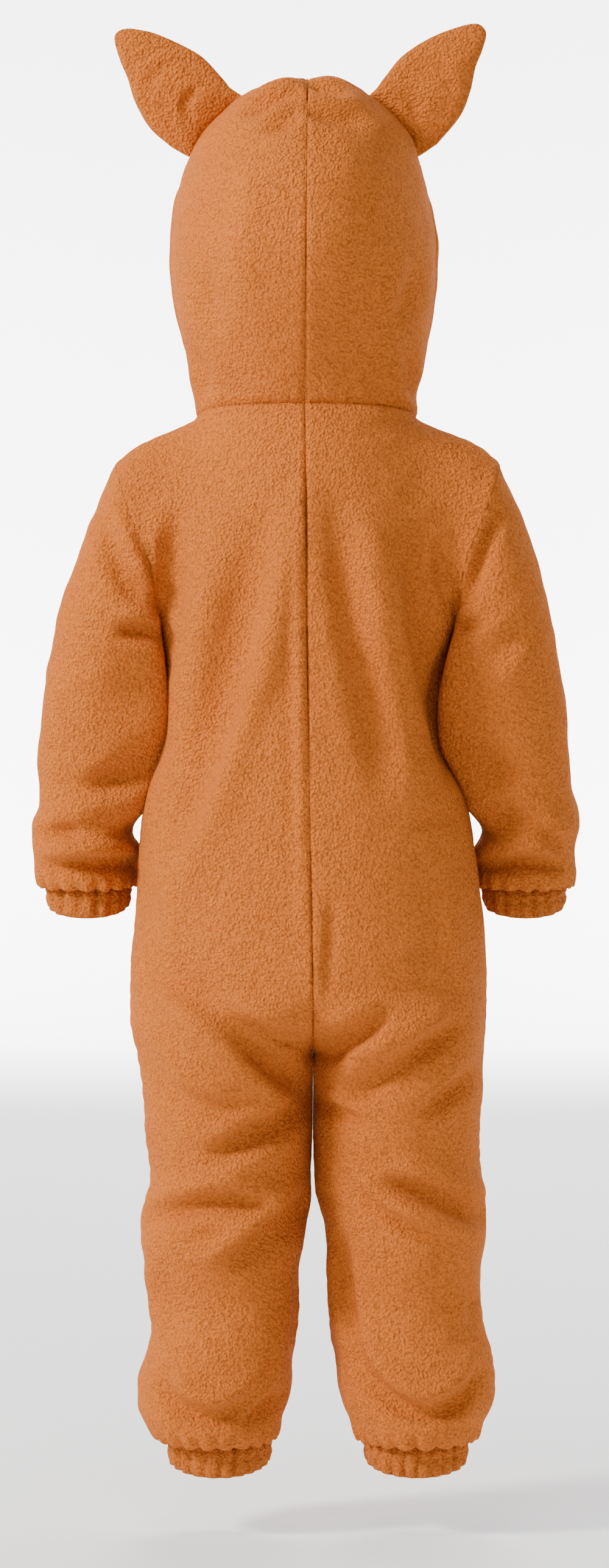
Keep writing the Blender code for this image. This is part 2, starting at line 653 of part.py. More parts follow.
def hood_point(side, share, u):
    """A point of one hood half: u runs from the centre seam to the edge of the face opening."""
    z = hood_height(share)
    reach = radians(smooth_read(HOOD_EDGE, "z", "reach", z))
    half_width = smooth_read(HOOD, "z", side_name(side), z)
    half_depth = {1: smooth_read(HOOD, "z", "back", z), -1: smooth_read(HOOD, "z", "front", z)}
    first = asin(min(HALF_GAP / max(half_width, HALF_GAP), 1.0))
    turn = max(first, min(reach, pi - first) * u)
    middle = smooth_read(HOOD, "z", "middle_y", z)
    y = middle + half_depth[1 if turn < pi / 2 else -1] * cos(turn)
    fade = 1 - ease(z / 60.0)
    seam = smooth_read(INNER_EDGES, "z", "left", 0) * cos(turn / 2) ** 2
    drop = NECK_FRONT_DROP * ((1 - cos(turn)) / 2) ** 2 * fade
    flare = 4.0 * ease((u - 0.82) / 0.18) * ease((z - 15) / 30.0) * ease((178 - z) / 25.0)
    x = max(half_width * sin(turn), HALF_GAP) + flare
    return np.array([side * x + seam * (1 - ease(z / HOOD_TOP_Z)), y, z - drop])


def hood_normal(side, share, u):
    step = 0.02
    s0, s1 = max(share - step, 0.0), min(share + step, 0.995)
    u0, u1 = max(u - step, 0.0), min(u + step, 1.0)
    up = hood_point(side, s1, u) - hood_point(side, s0, u)
    across = hood_point(side, min(share, 0.97), u1) - hood_point(side, min(share, 0.97), u0)
    normal = unit(np.cross(across, up))
    centre = np.array([0.0, -10.0, 80.0])
    return normal * (1 if np.dot(normal, hood_point(side, share, u) - centre) > 0 else -1)


def add_hood(material, collection):
    for side in (1, -1):
        outer, inner = [], []
        for r in range(HOOD_ROWS + 1):
            share = r / HOOD_ROWS
            outer_row, inner_row = [], []
            for c in range(HOOD_COLUMNS + 1):
                u = c / HOOD_COLUMNS
                point = hood_point(side, share, u)
                normal = hood_normal(side, share, u)
                if share == 0.0:
                    reach = radians(HOOD_EDGE["rows"][0][1])
                    normal = neck_rim(side, reach * u)
                    lift = unit(np.array([-normal[0] * 0.45, -normal[1] * 0.45, 1.0]))
                    point = point + lift * SEAM_GAP
                if share == 1.0:
                    normal = np.array([0.0, 0.0, 1.0])
                deep = point - normal * CLOTH
                if c == 0 or share == 1.0:
                    deep[0] = point[0]
                if c == HOOD_COLUMNS and hood_height(share) > 176:
                    deep[0] = point[0]
                outer_row.append(point)
                inner_row.append(deep)
            outer.append(outer_row)
            inner.append(inner_row)
        wall(f"hood_{side_name(side)}", outer, inner, False, material, collection)


def ear_root(side):
    """The ear's seam: points just outside the hood's widest line."""
    points = []
    for z in EAR_ROOT:
        x0 = smooth_read(HOOD, "z", side_name(side), z - 1)
        x1 = smooth_read(HOOD, "z", side_name(side), z + 1)
        out = unit(np.array([2.0, x0 - x1]))
        shift = smooth_read(INNER_EDGES, "z", "left", 0) / 2 * (1 - ease(z / HOOD_TOP_Z))
        x = (x0 + x1) / 2 + out[0] * SEAM_GAP
        points.append(np.array([side * x + shift, z + out[1] * SEAM_GAP]))
    return points


def add_ear(name, side, table, face, material, collection):
    """Half of a padded ear: flat at the middle, rounded outside, rooted on the hood's widest line."""
    outline = [np.array([x, z]) for x, z in zip(column(table, "x"), column(table, "z"))]
    outline += ear_root(side)
    centre = sum(outline) / len(outline)
    middle_y = EAR_Y + face * HALF_GAP
    builder = bmesh.new()
    rings = []
    for r in range(EAR_RINGS):
        inset = r / EAR_RINGS
        height = EAR_HALF_THICKNESS * sqrt(1 - (1 - inset) ** 2.2) if r else 0.0
        ring = [builder.verts.new(np.array([*(p + (centre - p) * inset), 0])[[0, 2, 1]] * MM) for p in outline]
        for vertex in ring:
            vertex.co.y = (middle_y + face * height) * MM
        rings.append(ring)
    tip = builder.verts.new((centre[0] * MM, (middle_y + face * EAR_HALF_THICKNESS) * MM, centre[1] * MM))
    count = len(outline)
    for first, second in zip(rings, rings[1:]):
        for i in range(count):
            j = (i + 1) % count
            builder.faces.new((first[i], first[j], second[j], second[i]))
    for i in range(count):
        builder.faces.new((rings[-1][i], rings[-1][(i + 1) % count], tip))
    builder.faces.new(rings[0][::-1])
    bmesh.ops.recalc_face_normals(builder, faces=builder.faces)
    bmesh.ops.triangulate(builder, faces=builder.faces)
    mesh = bpy.data.meshes.new(name)
    builder.to_mesh(mesh)
    builder.free()
    return add_object(name, mesh, material, collection)


def add_ears(material, collection):
    for side, table in ((1, EAR_LEFT), (-1, EAR_RIGHT)):
        for face, word in ((1, "back"), (-1, "front")):
            add_ear(f"ear_{side_name(side)}_{word}", side, table, face, material, collection)


# Zip

def zip_path(side):
    """Rows of the front panel's centre edge from the neck down to the zip's end."""
    rows = [(zone, t) for zone, t in panel_rows() if zone in ("yoke", "torso")]
    path = []
    for zone, t in rows:
        at = panel_point(side, -1, zone, t, 0.0)
        if at[2] < ZIP_END_Z:
            break
        path.append((at, panel_normal(side, -1, zone, t, 0.0)))
    return path


def add_zip(material, collection):
    """Each half: the tape behind the panel's edge, and its half of the chain in the slot."""
    chain = ZIP_SLOT - 0.35
    back = CLOTH + 0.45
    for side in (1, -1):
        profile = [(HALF_GAP, CHAIN_SINK), (chain, CHAIN_SINK), (chain, back), (TAPE_WIDTH, back),
                   (TAPE_WIDTH, back + TAPE_THICKNESS), (HALF_GAP, back + TAPE_THICKNESS)]
        rings = []
        for index, (at, normal) in enumerate(zip_path(side)):
            tuck = NECK_TUCK if index == 0 else 0.0
            seam = at[0] - side * ZIP_SLOT
            inward = -unit(np.array([0.0, normal[1], normal[2]]))
            ring = []
            for across, depth in profile:
                sag = across * across / (2 * 105.0)
                ring.append(np.array([seam + side * across, at[1], at[2]]) + inward * (depth + sag + tuck))
            rings.append(ring)
        builder = bmesh.new()
        levels = [[builder.verts.new(p * MM) for p in ring] for ring in rings]
        count = len(profile)
        for upper, lower in zip(levels, levels[1:]):
            for i in range(count):
                j = (i + 1) % count
                builder.faces.new((upper[i], upper[j], lower[j], lower[i]))
        builder.faces.new(levels[0])
        builder.faces.new(levels[-1][::-1])
        bmesh.ops.recalc_face_normals(builder, faces=builder.faces)
        bmesh.ops.triangulate(builder, faces=builder.faces)
        mesh = bpy.data.meshes.new(f"zip_{side_name(side)}")
        builder.to_mesh(mesh)
        builder.free()
        add_object(f"zip_{side_name(side)}", mesh, material, collection)


def slider_place():
    """The middle of the slider's seat on the zip, and how far the zip leans there."""
    upper, lower = zip_path(1)[1][0], zip_path(1)[2][0]
    seat = np.array([0.0, (upper[1] + lower[1]) / 2, (upper[2] + lower[2]) / 2])
    return seat, atan2(lower[1] - upper[1], upper[2] - lower[2])


def add_block(name, size, at, collection):
    """A plain block in the slider's own frame, in millimetres."""
    builder = bmesh.new()
    bmesh.ops.create_cube(builder, size=1.0)
    bmesh.ops.scale(builder, vec=[s * MM for s in size], verts=builder.verts)
    bmesh.ops.translate(builder, vec=[v * MM for v in at], verts=builder.verts)
    mesh = bpy.data.meshes.new(name)
    builder.to_mesh(mesh)
    builder.free()
    thing = bpy.data.objects.new(name, mesh)
    collection.objects.link(thing)
    return thing


def add_pin(length, collection):
    """The pin through the lugs, across the zip at the pivot's height."""
    builder = bmesh.new()
    place = Matrix.Translation((0, -PIVOT_HEIGHT * MM, 0)) @ Matrix.Rotation(pi / 2, 4, "Y")
    bmesh.ops.create_cone(builder, cap_ends=True, segments=16, radius1=PIN_RADIUS * MM,
                          radius2=PIN_RADIUS * MM, depth=length * MM, matrix=place)
    mesh = bpy.data.meshes.new("slider_pin")
    builder.to_mesh(mesh)
    builder.free()
    pin = bpy.data.objects.new("slider_pin", mesh)
    collection.objects.link(pin)
    return pin


def add_slider(material, collection, guides):
    """Plate over the chain, with two lugs and the pin that carries the pull."""
    seat, lean = slider_place()
    plate_middle = -(SEAM_GAP + PLATE_THICKNESS / 2)
    plate = add_block("zip_slider", (7.0, PLATE_THICKNESS, 9.0), (0, plate_middle, 0), collection)
    plate.data.materials.append(material)
    lug_x = PULL_WIDTH / 2 + 0.35 + LUG_WIDTH / 2
    lug_height = PIVOT_HEIGHT + 1.5 - SEAM_GAP
    extras = []
    for side in (1, -1):
        middle = -(SEAM_GAP + lug_height / 2) - 0.2
        extras.append(add_block(f"slider_lug_{side_name(side)}", (LUG_WIDTH, lug_height - 0.4, 3.4),
                                (side * lug_x, middle, 0), guides))
    pin = add_pin(2 * (lug_x + LUG_WIDTH / 4), guides)
    extras.append(pin)
    for extra in extras:
        extra.hide_render = True
        extra.display_type = "WIRE"
        join = plate.modifiers.new(extra.name, "BOOLEAN")
        join.operation = "UNION"
        join.solver = "EXACT"
        join.object = extra
        extra.location = seat * MM
        extra.rotation_euler = (lean, 0, 0)
    plate.location = seat * MM
    plate.rotation_euler = (lean, 0, 0)


def add_pull(material, collection):
    """Pull tab: a bar with an eye round the slider's pin, resting near the cloth."""
    seat, lean = slider_place()
    curve = bpy.data.curves.new("zip_pull", "CURVE")
    curve.dimensions = "2D"
    curve.fill_mode = "BOTH"
    curve.extrude = PULL_WIDTH / 2 * MM
    eye = PIN_RADIUS + EYE_CLEARANCE
    half = PULL_THICKNESS / 2
    lap = asin(half / EYE_RADIUS)
    turns = [lap + (2 * pi - 2 * lap) * i / 14 for i in range(15)]
    outline = [(EYE_RADIUS * cos(a), EYE_RADIUS * sin(a)) for a in turns]
    outline += [(PULL_LENGTH, -half), (PULL_LENGTH, half)]
    hole = [(eye * cos(2 * pi * i / 16), eye * sin(2 * pi * i / 16)) for i in range(16)]
    for loop in (outline, hole):
        spline = curve.splines.new("POLY")
        spline.points.add(len(loop) - 1)
        for point, (x, y) in zip(spline.points, loop):
            point.co = (x * MM, y * MM, 0, 1)
        spline.use_cyclic_u = True
    pull = bpy.data.objects.new("zip_pull", curve)
    collection.objects.link(pull)
    curve.materials.append(material)
    out = Matrix.Rotation(lean, 3, "X") @ Vector((0, -PIVOT_HEIGHT, 0))
    pull.location = (Vector(seat) + out) * MM
    hang = Matrix.Rotation(lean + radians(PULL_REST), 3, "X") @ Matrix(((0, 0, 1), (0, 1, 0), (-1, 0, 0)))
    pull.rotation_euler = hang.to_euler()


def clear_scene():
    for thing in list(bpy.data.objects):
        bpy.data.objects.remove(thing, do_unlink=True)


def main():
    clear_scene()
    collection = bpy.data.collections.new("fox_costume")
    guides = bpy.data.collections.new("joined_shapes")
    for group in (collection, guides):
        bpy.context.scene.collection.children.link(group)
    fleece = new_material("fleece", (0.50, 0.17, 0.045), 0.95)
    rib = new_material("cuff_fleece", (0.44, 0.15, 0.045), 0.95)
    tape = new_material("zip_tape", (0.35, 0.13, 0.04), 0.7)
    brass = new_material("zip_metal", (0.55, 0.42, 0.22), 0.35, 1.0)
    add_panels(fleece, collection)
    add_sleeves(fleece, collection)
    add_cuffs(rib, collection)
    add_hood(fleece, collection)
    add_ears(fleece, collection)
    add_zip(tape, collection)
    add_slider(brass, collection, guides)
    add_pull(brass, collection)


main()
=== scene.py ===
"""Looks of a toddler's hooded fleece jumpsuit with two pointed ears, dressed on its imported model.

Tables are in millimetres and repeat the cut's own sizes. The wearer faces -Y, +X is the wearer's left.
"""

from math import asin, cos, pi, radians, sin, sqrt

import bmesh
import bpy
import numpy as np
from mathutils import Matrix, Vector


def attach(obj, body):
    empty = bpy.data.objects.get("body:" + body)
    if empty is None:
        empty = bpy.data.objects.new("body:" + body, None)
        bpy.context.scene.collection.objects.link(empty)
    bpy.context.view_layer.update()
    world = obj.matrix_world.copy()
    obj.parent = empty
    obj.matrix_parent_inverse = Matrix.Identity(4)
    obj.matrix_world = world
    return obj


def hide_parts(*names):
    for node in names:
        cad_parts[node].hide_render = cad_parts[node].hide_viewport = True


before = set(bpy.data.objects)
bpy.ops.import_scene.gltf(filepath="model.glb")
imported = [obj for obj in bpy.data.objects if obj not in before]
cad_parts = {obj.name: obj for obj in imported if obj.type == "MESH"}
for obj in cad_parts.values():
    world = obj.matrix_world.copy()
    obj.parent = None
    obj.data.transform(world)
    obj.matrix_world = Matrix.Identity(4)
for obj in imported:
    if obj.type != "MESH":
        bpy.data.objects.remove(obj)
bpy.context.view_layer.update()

MM = 0.001

# Driving sizes, in millimetres
CLOTH = 2.5
SEAM_GAP = 0.36
HALF_GAP = SEAM_GAP / 2
UNDERARM_Z = -142.0
CROTCH_Z = -409.0
CROTCH_RISE = 42.0
LEG_END_Z = -651.4
NECK_HALF_WIDTH = 70.0
NECK_HALF_DEPTH = 48.0
NECK_FRONT_DROP = 25.0
NECK_COLUMN = 0.5
ARMHOLE_HALF_DEPTH = 39.0
SHOULDER_Z = -35.0
CAP_END_Z = -170.0
ELBOW_Z = -240.0
SLEEVE_END_Z = -302.6
ZIP_END_Z = -330.0
ZIP_SLOT = 3.2
HOOD_TOP_Z = 211.0
EAR_HALF_THICKNESS = 6.0
EAR_Y = -13.5

# Half-widths of the body from the front plane of symmetry, read from the outline
BODY_WIDTHS = {
    "columns": ("z", "left", "right"),
    "rows": [
        (-142, 94.0, 94.0), (-165, 91.0, 88.0), (-191, 88.6, 83.8), (-218, 90.5, 86.5),
        (-234, 97.0, 94.5), (-252, 103.4, 101.8), (-278, 107.0, 106.0), (-313, 109.0, 110.5),
        (-358, 112.4, 114.0), (-388, 113.0, 113.6), (-409, 108.8, 112.0), (-436, 104.3, 110.9),
        (-464, 102.6, 109.4), (-491, 100.0, 110.9), (-513, 106.0, 113.6), (-528, 106.4, 113.4),
        (-550, 102.0, 110.5), (-568, 98.2, 110.9), (-590, 99.7, 113.6), (-604, 103.4, 117.6),
        (-619, 108.2, 119.0), (-632, 108.2, 117.4), (-643, 102.4, 110.0), (-651.4, 88.9, 102.0),
    ],
}

# Inner edges of the legs, and the centre seam above the crotch, as x
INNER_EDGES = {
    "columns": ("z", "left", "right"),
    "rows": [
        (0, 1.5, 1.5), (-139, 0.4, 0.4), (-263, -1.7, -1.7), (-392, -3.5, -3.5),
        (-409, -3.5, -3.5), (-436, -2.6, -4.4), (-464, -1.6, -5.0), (-491, -1.2, -5.4),
        (-513, -0.2, -9.6), (-530, 2.6, -12.3), (-550, 5.6, -13.2), (-568, 5.2, -14.2),
        (-590, 7.0, -14.6), (-605, 9.6, -17.7), (-620, 10.0, -19.3), (-632, 12.7, -22.5),
        (-643, 18.0, -28.5), (-651.4, 23.3, -36.2),
    ],
}

# Depth of the body, which the photo doesn't show: the usual cut on a general figure
BODY_DEPTHS = {
    "columns": ("z", "middle", "back", "front"),
    "rows": [
        (-142, 0, 75, 70), (-191, 0, 73, 74), (-252, 0, 76, 80), (-313, 0, 82, 82),
        (-358, 0, 86, 80), (-388, 0, 82, 74), (-409, 0, 76, 68), (-436, 0, 68, 62),
        (-491, -1, 57, 56), (-526, -3, 57, 58), (-568, -4, 49, 50), (-604, -1, 55, 54),
        (-632, 2, 56, 54), (-643, 4, 50, 49), (-651.4, 5, 40, 40),
    ],
}

# Shoulder seam from the neck to the shoulder point
SHOULDER = {
    "columns": ("share", "x", "z"),
    "rows": [(0, 70, 0), (0.36, 90, -12), (0.7, 108, -22), (1, 122.5, -35)],
}

# Armhole seam, and the way its rim leans: m is the direction from the inner to the outer edge
ARMHOLE_X = {
    "columns": ("z", "x"),
    "rows": [(-142, 94.2), (-126, 95.4), (-108, 97.4), (-95, 101), (-79, 108), (-51, 118), (-35, 122.5)],
}
ARMHOLE_RIM = {
    "columns": ("share", "mx", "my", "mz"),
    "rows": [(0, 0, 0, -1), (0.125, 0.15, 0.75, -0.65), (0.25, 0.3, 0.93, -0.2), (0.5, 0.5, 0.86, 0.05),
             (0.75, 0.6, 0.7, 0.35), (0.875, 0.68, 0.38, 0.6), (1, 0.74, 0, 0.67)],
}

# Sleeves below the cap: edges seen from behind, as distances from the middle, and their depth
SLEEVE_LEFT = {
    "columns": ("z", "inner", "outer", "middle_y", "half_depth"),
    "rows": [
        (-170, 93.4, 166.3, -5, 44), (-185, 91.6, 168.0, -7, 41), (-205, 92.4, 170.4, -9, 38),
        (-223, 96.4, 172.9, -12, 36), (-240, 102.4, 171.7, -15, 35), (-252, 106.4, 171.4, -17, 35),
        (-265, 111.4, 176.6, -19, 37), (-273, 113.2, 177.4, -20, 37), (-283, 109.6, 176.6, -21, 35),
        (-293, 109.6, 174.5, -22, 33), (-302.6, 113.3, 167.6, -23, 26),
    ],
}
SLEEVE_RIGHT = {
    "columns": ("z", "inner", "outer", "middle_y", "half_depth"),
    "rows": [
        (-170, 91.0, 161.5, -5, 43), (-185, 88.4, 163.4, -7, 41), (-205, 88.8, 166.4, -9, 38),
        (-223, 93.2, 168.0, -12, 36), (-240, 100.4, 169.0, -15, 35), (-252, 105.0, 172.3, -17, 36),
        (-265, 112.0, 173.6, -19, 37), (-273, 111.7, 171.4, -20, 36), (-283, 108.8, 170.6, -21, 34),
        (-293, 108.6, 171.2, -22, 33), (-302.6, 112.0, 165.6, -23, 26),
    ],
}

# Hood sections above the neck seam
HOOD = {
    "columns": ("z", "left", "right", "middle_y", "back", "front"),
    "rows": [
        (0, 70, 70, 0, 48, 48), (15, 72, 71, -4, 58, 50), (37, 77, 76, -9, 74, 54),
        (69, 83, 80.5, -13, 92, 60), (104, 86, 81.6, -14, 103, 66), (130, 84.2, 78.2, -14, 103, 70),
        (155, 78, 73, -14, 94, 70), (176, 68, 65, -13, 78, 66), (190, 55.5, 52.5, -12, 61, 56),
        (200, 42, 40, -11, 46, 43), (207.5, 25.5, 25, -11, 27, 26), (211, 0, 0, -11, 0, 0),
    ],
}

# How far round each side of the hood reaches, in degrees from the middle of the back
HOOD_EDGE = {
    "columns": ("z", "reach"),
    "rows": [(0, 162), (10, 146), (25, 126), (50, 110), (85, 103), (120, 103), (145, 112),
             (160, 132), (170, 158), (176, 179.6), (190, 179.8), (211, 179.9)],
}

# Ear outlines seen from behind, free edge only: up from the hood, round the tip and down to the hood
EAR_LEFT = {
    "columns": ("x", "z"),
    "rows": [(49.5, 206), (55.8, 213.7), (69.7, 227.5), (94, 239.5), (108, 243.2), (116.3, 243.7),
             (121.6, 241.5), (123.3, 236), (119.6, 223), (115, 212), (110, 196.4), (100.5, 180), (87, 168)],
}
EAR_RIGHT = {
    "columns": ("x", "z"),
    "rows": [(-44.5, 206), (-49.5, 213), (-60.8, 226.5), (-78, 237.7), (-95.4, 244.6), (-106.5, 247),
             (-112, 245), (-114.3, 239.5), (-111.4, 229), (-107.4, 218.8), (-104, 203.3), (-97.5, 187.6),
             (-83, 170)],
}

# Heights where the ears' roots follow the hood, from the lower foot to the upper one
EAR_ROOT = (162, 169, 176, 183, 190, 196, 200.5)

# Gathered cuffs: how far the back dips at the top and the bottom, the number of gathers, how deep they
# are, and the width at the bottom as a share of the top
WRIST = {"height": 14.0, "top_dip": 3.0, "bottom_dip": 8.0, "gathers": 16, "wave": 2.5, "taper": 0.97}
ANKLE = {"height": 16.0, "top_dip": 3.0, "bottom_dip": 7.0, "gathers": 22, "wave": 2.8, "taper": 0.98}

# Folds: depth (troughs are negative), half-width, and a line seen from behind as (x, z) points
BACK_FOLDS = [
    (-3.5, 6, [(80, -66), (87, -100), (86, -134)]),
    (-4.4, 11, [(34, -78), (39, -112), (50, -168), (63, -220), (76, -262)]),
    (3.6, 9, [(9, -66), (16, -115), (28, -168), (42, -212), (57, -256), (73, -290), (79, -322)]),
    (1.8, 9, [(64, -90), (67, -136), (76, -184)]),
    (1.0, 4, [(6, -50), (5, -200), (3, -330)]),
    (-2.5, 9, [(-16, -55), (-21, -95), (-31, -150), (-43, -205), (-51, -245)]),
    (3.2, 9, [(-38, -70), (-42, -130), (-54, -190), (-64, -240)]),
    (-6.2, 9, [(-67, -88), (-72, -140), (-82, -188), (-93, -232)]),
    (-2.2, 4, [(-82, -86), (-84, -106), (-86, -122)]),
    (-1.1, 5, [(-66, -268), (-78, -262), (-90, -254)]),
    (1.1, 7, [(-92, -300), (-90, -335), (-94, -362)]),
    (-1.5, 5, [(-15, -308), (-14, -340), (-12, -372)]),
    (2.6, 10, [(92, -270), (88, -300), (84, -345)]),
    (-5.4, 6, [(50, -384), (36, -391), (16, -396), (2, -402)]),
    (-4.2, 7, [(44, -392), (26, -412), (8, -427), (-2, -436)]),
    (4.4, 8, [(101, -368), (76, -380), (46, -409), (16, -434)]),
    (-3.2, 8, [(101, -408), (85, -434), (56, -442), (30, -436)]),
    (-5.4, 7, [(0, -436), (15, -451), (35, -458), (57, -471)]),
    (3.0, 7, [(6, -454), (30, -472), (60, -482)]),
    (-6.0, 6, [(102, -514), (76, -504), (50, -499), (24, -506)]),
    (-1.2, 5, [(73, -520), (58, -523), (44, -521)]),
    (2.6, 6, [(8, -490), (28, -511), (68, -538)]),
    (-7.0, 8, [(0, -502), (20, -519), (47, -538)]),
    (2.2, 7, [(96, -530), (98, -560), (92, -588)]),
    (-6.4, 6, [(84, -604), (89, -618), (76, -631), (54, -635), (36, -626), (16, -612)]),
    (-6.0, 5, [(38, -640), (26, -633), (14, -622)]),
    (1.6, 5, [(42, -634), (28, -622), (14, -608)]),
    (-4.4, 6, [(-48, -384), (-30, -394), (-8, -402)]),
    (3.2, 6, [(-56, -390), (-30, -411), (-12, -420)]),
    (-6.0, 7, [(-97, -388), (-76, -401), (-50, -417), (-28, -436)]),
    (-4.8, 6, [(-107, -416), (-92, -431), (-72, -443)]),
    (-3.6, 5, [(-6, -440), (-20, -446), (-36, -452)]),
    (-6.4, 6.5, [(-44, -491), (-66, -493), (-88, -501), (-112, -513)]),
    (2.6, 5, [(-36, -486), (-70, -506), (-111, -526)]),
    (-2.6, 4, [(-29, -494), (-54, -511), (-82, -526)]),
    (-3.8, 5, [(-20, -524), (-23, -560), (-31, -596)]),
    (-2.0, 4, [(-100, -556), (-106, -566), (-102, -578)]),
    (-8.0, 6, [(-31, -594), (-41, -614), (-60, -629), (-80, -632), (-100, -620), (-111, -604)]),
]
FRONT_FOLDS = [
    (-4.2, 8, [(70, -58), (66, -104), (54, -160)]),
    (2.8, 9, [(52, -66), (44, -120), (36, -170)]),
    (-4.0, 8, [(-66, -60), (-58, -112), (-50, -168)]),
    (2.8, 9, [(-44, -80), (-38, -130), (-34, -180)]),
    (3.0, 10, [(36, -205), (58, -258), (82, -312)]),
    (-3.2, 8, [(54, -212), (76, -262), (94, -310)]),
    (3.0, 10, [(-36, -215), (-60, -266), (-84, -310)]),
    (-3.2, 8, [(-52, -210), (-78, -256), (-96, -306)]),
    (-4.0, 7, [(12, -402), (42, -390), (84, -372)]),
    (2.6, 8, [(16, -388), (44, -376), (80, -356)]),
    (-4.0, 7, [(-16, -400), (-50, -384), (-92, -376)]),
    (-3.2, 7, [(8, -438), (36, -444), (66, -438)]),
    (-3.2, 7, [(-14, -440), (-42, -448), (-78, -440)]),
    (-4.2, 8, [(92, -500), (58, -514), (24, -506)]),
    (2.6, 8, [(90, -518), (60, -531), (28, -524)]),
    (-4.2, 8, [(-100, -504), (-66, -518), (-30, -508)]),
    (2.6, 8, [(-98, -522), (-66, -535), (-34, -526)]),
    (-3.8, 7, [(84, -618), (56, -634), (30, -620)]),
    (-3.8, 7, [(-104, -620), (-72, -636), (-46, -622)]),
]
SLEEVE_FOLDS = {
    1: {"back": [
        (-5.6, 6, [(118, -144), (104, -143), (92, -150)]),
        (-3.2, 6, [(125, -100), (110, -116), (100, -127)]),
        (0.7, 7, [(130, -58), (130, -79), (128, -100)]),
        (-2.6, 7, [(134, -61), (122, -90), (108, -120)]),
        (-4.6, 7, [(95, -202), (112, -230), (136, -241)]),
        (2.4, 7, [(100, -216), (120, -246), (150, -254)]),
        (-2.6, 5, [(109, -261), (116, -266), (123, -268)]),
        (-3.6, 5, [(168, -273), (153, -268), (144, -273)]),
        (-6.0, 5.5, [(164, -292), (139, -290), (108, -291)]),
        (2.2, 6, [(166, -283), (146, -279), (120, -281)]),
    ], "front": [
        (-3.4, 6, [(112, -128), (104, -140), (96, -150)]),
        (-3.0, 7, [(126, -86), (116, -112), (104, -132)]),
        (-4.0, 7, [(96, -205), (120, -218), (156, -214)]),
        (2.6, 7, [(98, -220), (124, -234), (160, -230)]),
        (-3.4, 6, [(108, -258), (134, -268), (168, -262)]),
        (-3.0, 5, [(114, -290), (138, -286), (162, -290)]),
    ]},
    -1: {"back": [
        (-4.8, 7, [(-120, -66), (-110, -90), (-98, -126)]),
        (-3.6, 5, [(-108, -139), (-102, -139), (-95, -142)]),
        (-1.5, 8, [(-109, -163), (-125, -152), (-137, -138)]),
        (0.9, 8, [(-112, -176), (-128, -168), (-142, -154)]),
        (-2.2, 7, [(-98, -205), (-116, -226), (-138, -236)]),
        (-3.2, 5, [(-149, -270), (-156, -278), (-164, -275)]),
        (-6.0, 5.5, [(-110, -294), (-133, -290), (-162, -292)]),
        (2.4, 6, [(-116, -282), (-136, -276), (-160, -279)]),
        (-2.6, 6, [(-114, -262), (-126, -258), (-140, -262)]),
    ], "front": [
        (-3.4, 6, [(-110, -130), (-102, -142), (-95, -150)]),
        (-3.0, 7, [(-124, -88), (-114, -112), (-103, -132)]),
        (-4.0, 7, [(-94, -208), (-118, -220), (-152, -216)]),
        (2.6, 7, [(-96, -222), (-122, -236), (-156, -232)]),
        (-3.4, 6, [(-110, -260), (-134, -270), (-166, -264)]),
        (-3.0, 5, [(-114, -290), (-138, -286), (-160, -290)]),
    ]},
}
HOOD_FOLDS = [
    (3.4, 6, [(30, 190), (17, 195), (4, 201)]),
    (-4.4, 5, [(38, 181), (26, 187), (6, 194)]),
    (-3.4, 5, [(25, 170), (15, 174), (4, 180)]),
    (-4.6, 6, [(-2, 183), (-14, 180), (-36, 176)]),
    (-3.4, 5, [(-1, 203), (-10, 198), (-24, 192)]),
    (-2.4, 7, [(68, 87), (62, 62), (54, 44)]),
    (-3.2, 5, [(76, 37), (68, 18), (68, 3)]),
    (-3.2, 5, [(-64, 30), (-66, 16), (-69, 3)]),
    (1.6, 12, [(36, 60), (40, 100), (34, 140)]),
    (-2.0, 6, [(-70, 90), (-62, 66), (-56, 48)]),
]

# Soft creases of the ears: left ear is side 1
EAR_CREASES = {
    1: [(-2.2, 3.5, [(66, 208), (78, 196), (74, 183)]),
        (-1.6, 4, [(82, 222), (96, 214), (104, 202)])],
    -1: [(-2.2, 3.5, [(-62, 205), (-67, 194), (-70, 183)]),
         (-1.6, 4, [(-76, 224), (-88, 214), (-92, 200)])],
}

# How finely each piece is divided
YOKE_STEPS = 64
TORSO_STEPS = 100
CROTCH_STEPS = 20
LEG_STEPS = 110
PANEL_STEPS = 84
CAP_STEPS = 56
ARM_STEPS = 64
SLEEVE_STEPS = 120
HOOD_UP_STEPS = 110
HOOD_ROUND_STEPS = 84
EAR_RINGS = 26
POINTS_A_GATHER = 12
CUFF_STEPS = 14

# How the folds in the tables are pressed into the cloth
FOLD_GAIN = 2.2
FOLD_SWELL = 0.45
FOLD_LIMIT = 9.0
FOLD_REACH = 4.5
FRONT_FOLD_SHARE = 0.75
YOKE_SOFTENING = 260

# How an edge is sewn: depths of its groove, its width, the slack between two lips, and its puckers.
# MIDDLE_PLANE takes the x out of a direction.
SEAM_DEPTH = 0.95
SIDE_SEAM_DEPTH = 0.5
ARMHOLE_GROOVE = 1.5
SLEEVE_GROOVE = 1.2
NECK_GROOVE = 1.2
SEAM_WIDTH = 1.5
MIDDLE_PLANE = np.array([0.0, 1.0, 1.0])
SEAM_SLANT = 0.5
SEAM_TOUCH = 0.03
SEAM_EASE = 0.14
PUCKER_DEPTH = 0.45
PUCKER_LENGTH = 11.0

# Hems over the cuffs, and the cloth of the cuffs
HEM_DROP = 5.5
HEM_SWELL = 2.3
GATHER_REACH = 15.0
ANKLE_PLEAT = 1.8
WRIST_PLEAT = 1.7
WRIST_SWELL = 4.0
WRIST_SWELL_Z = -284.0
FAR_FROM_HEM = 99.0
CUFF_CLOTH = 2.1

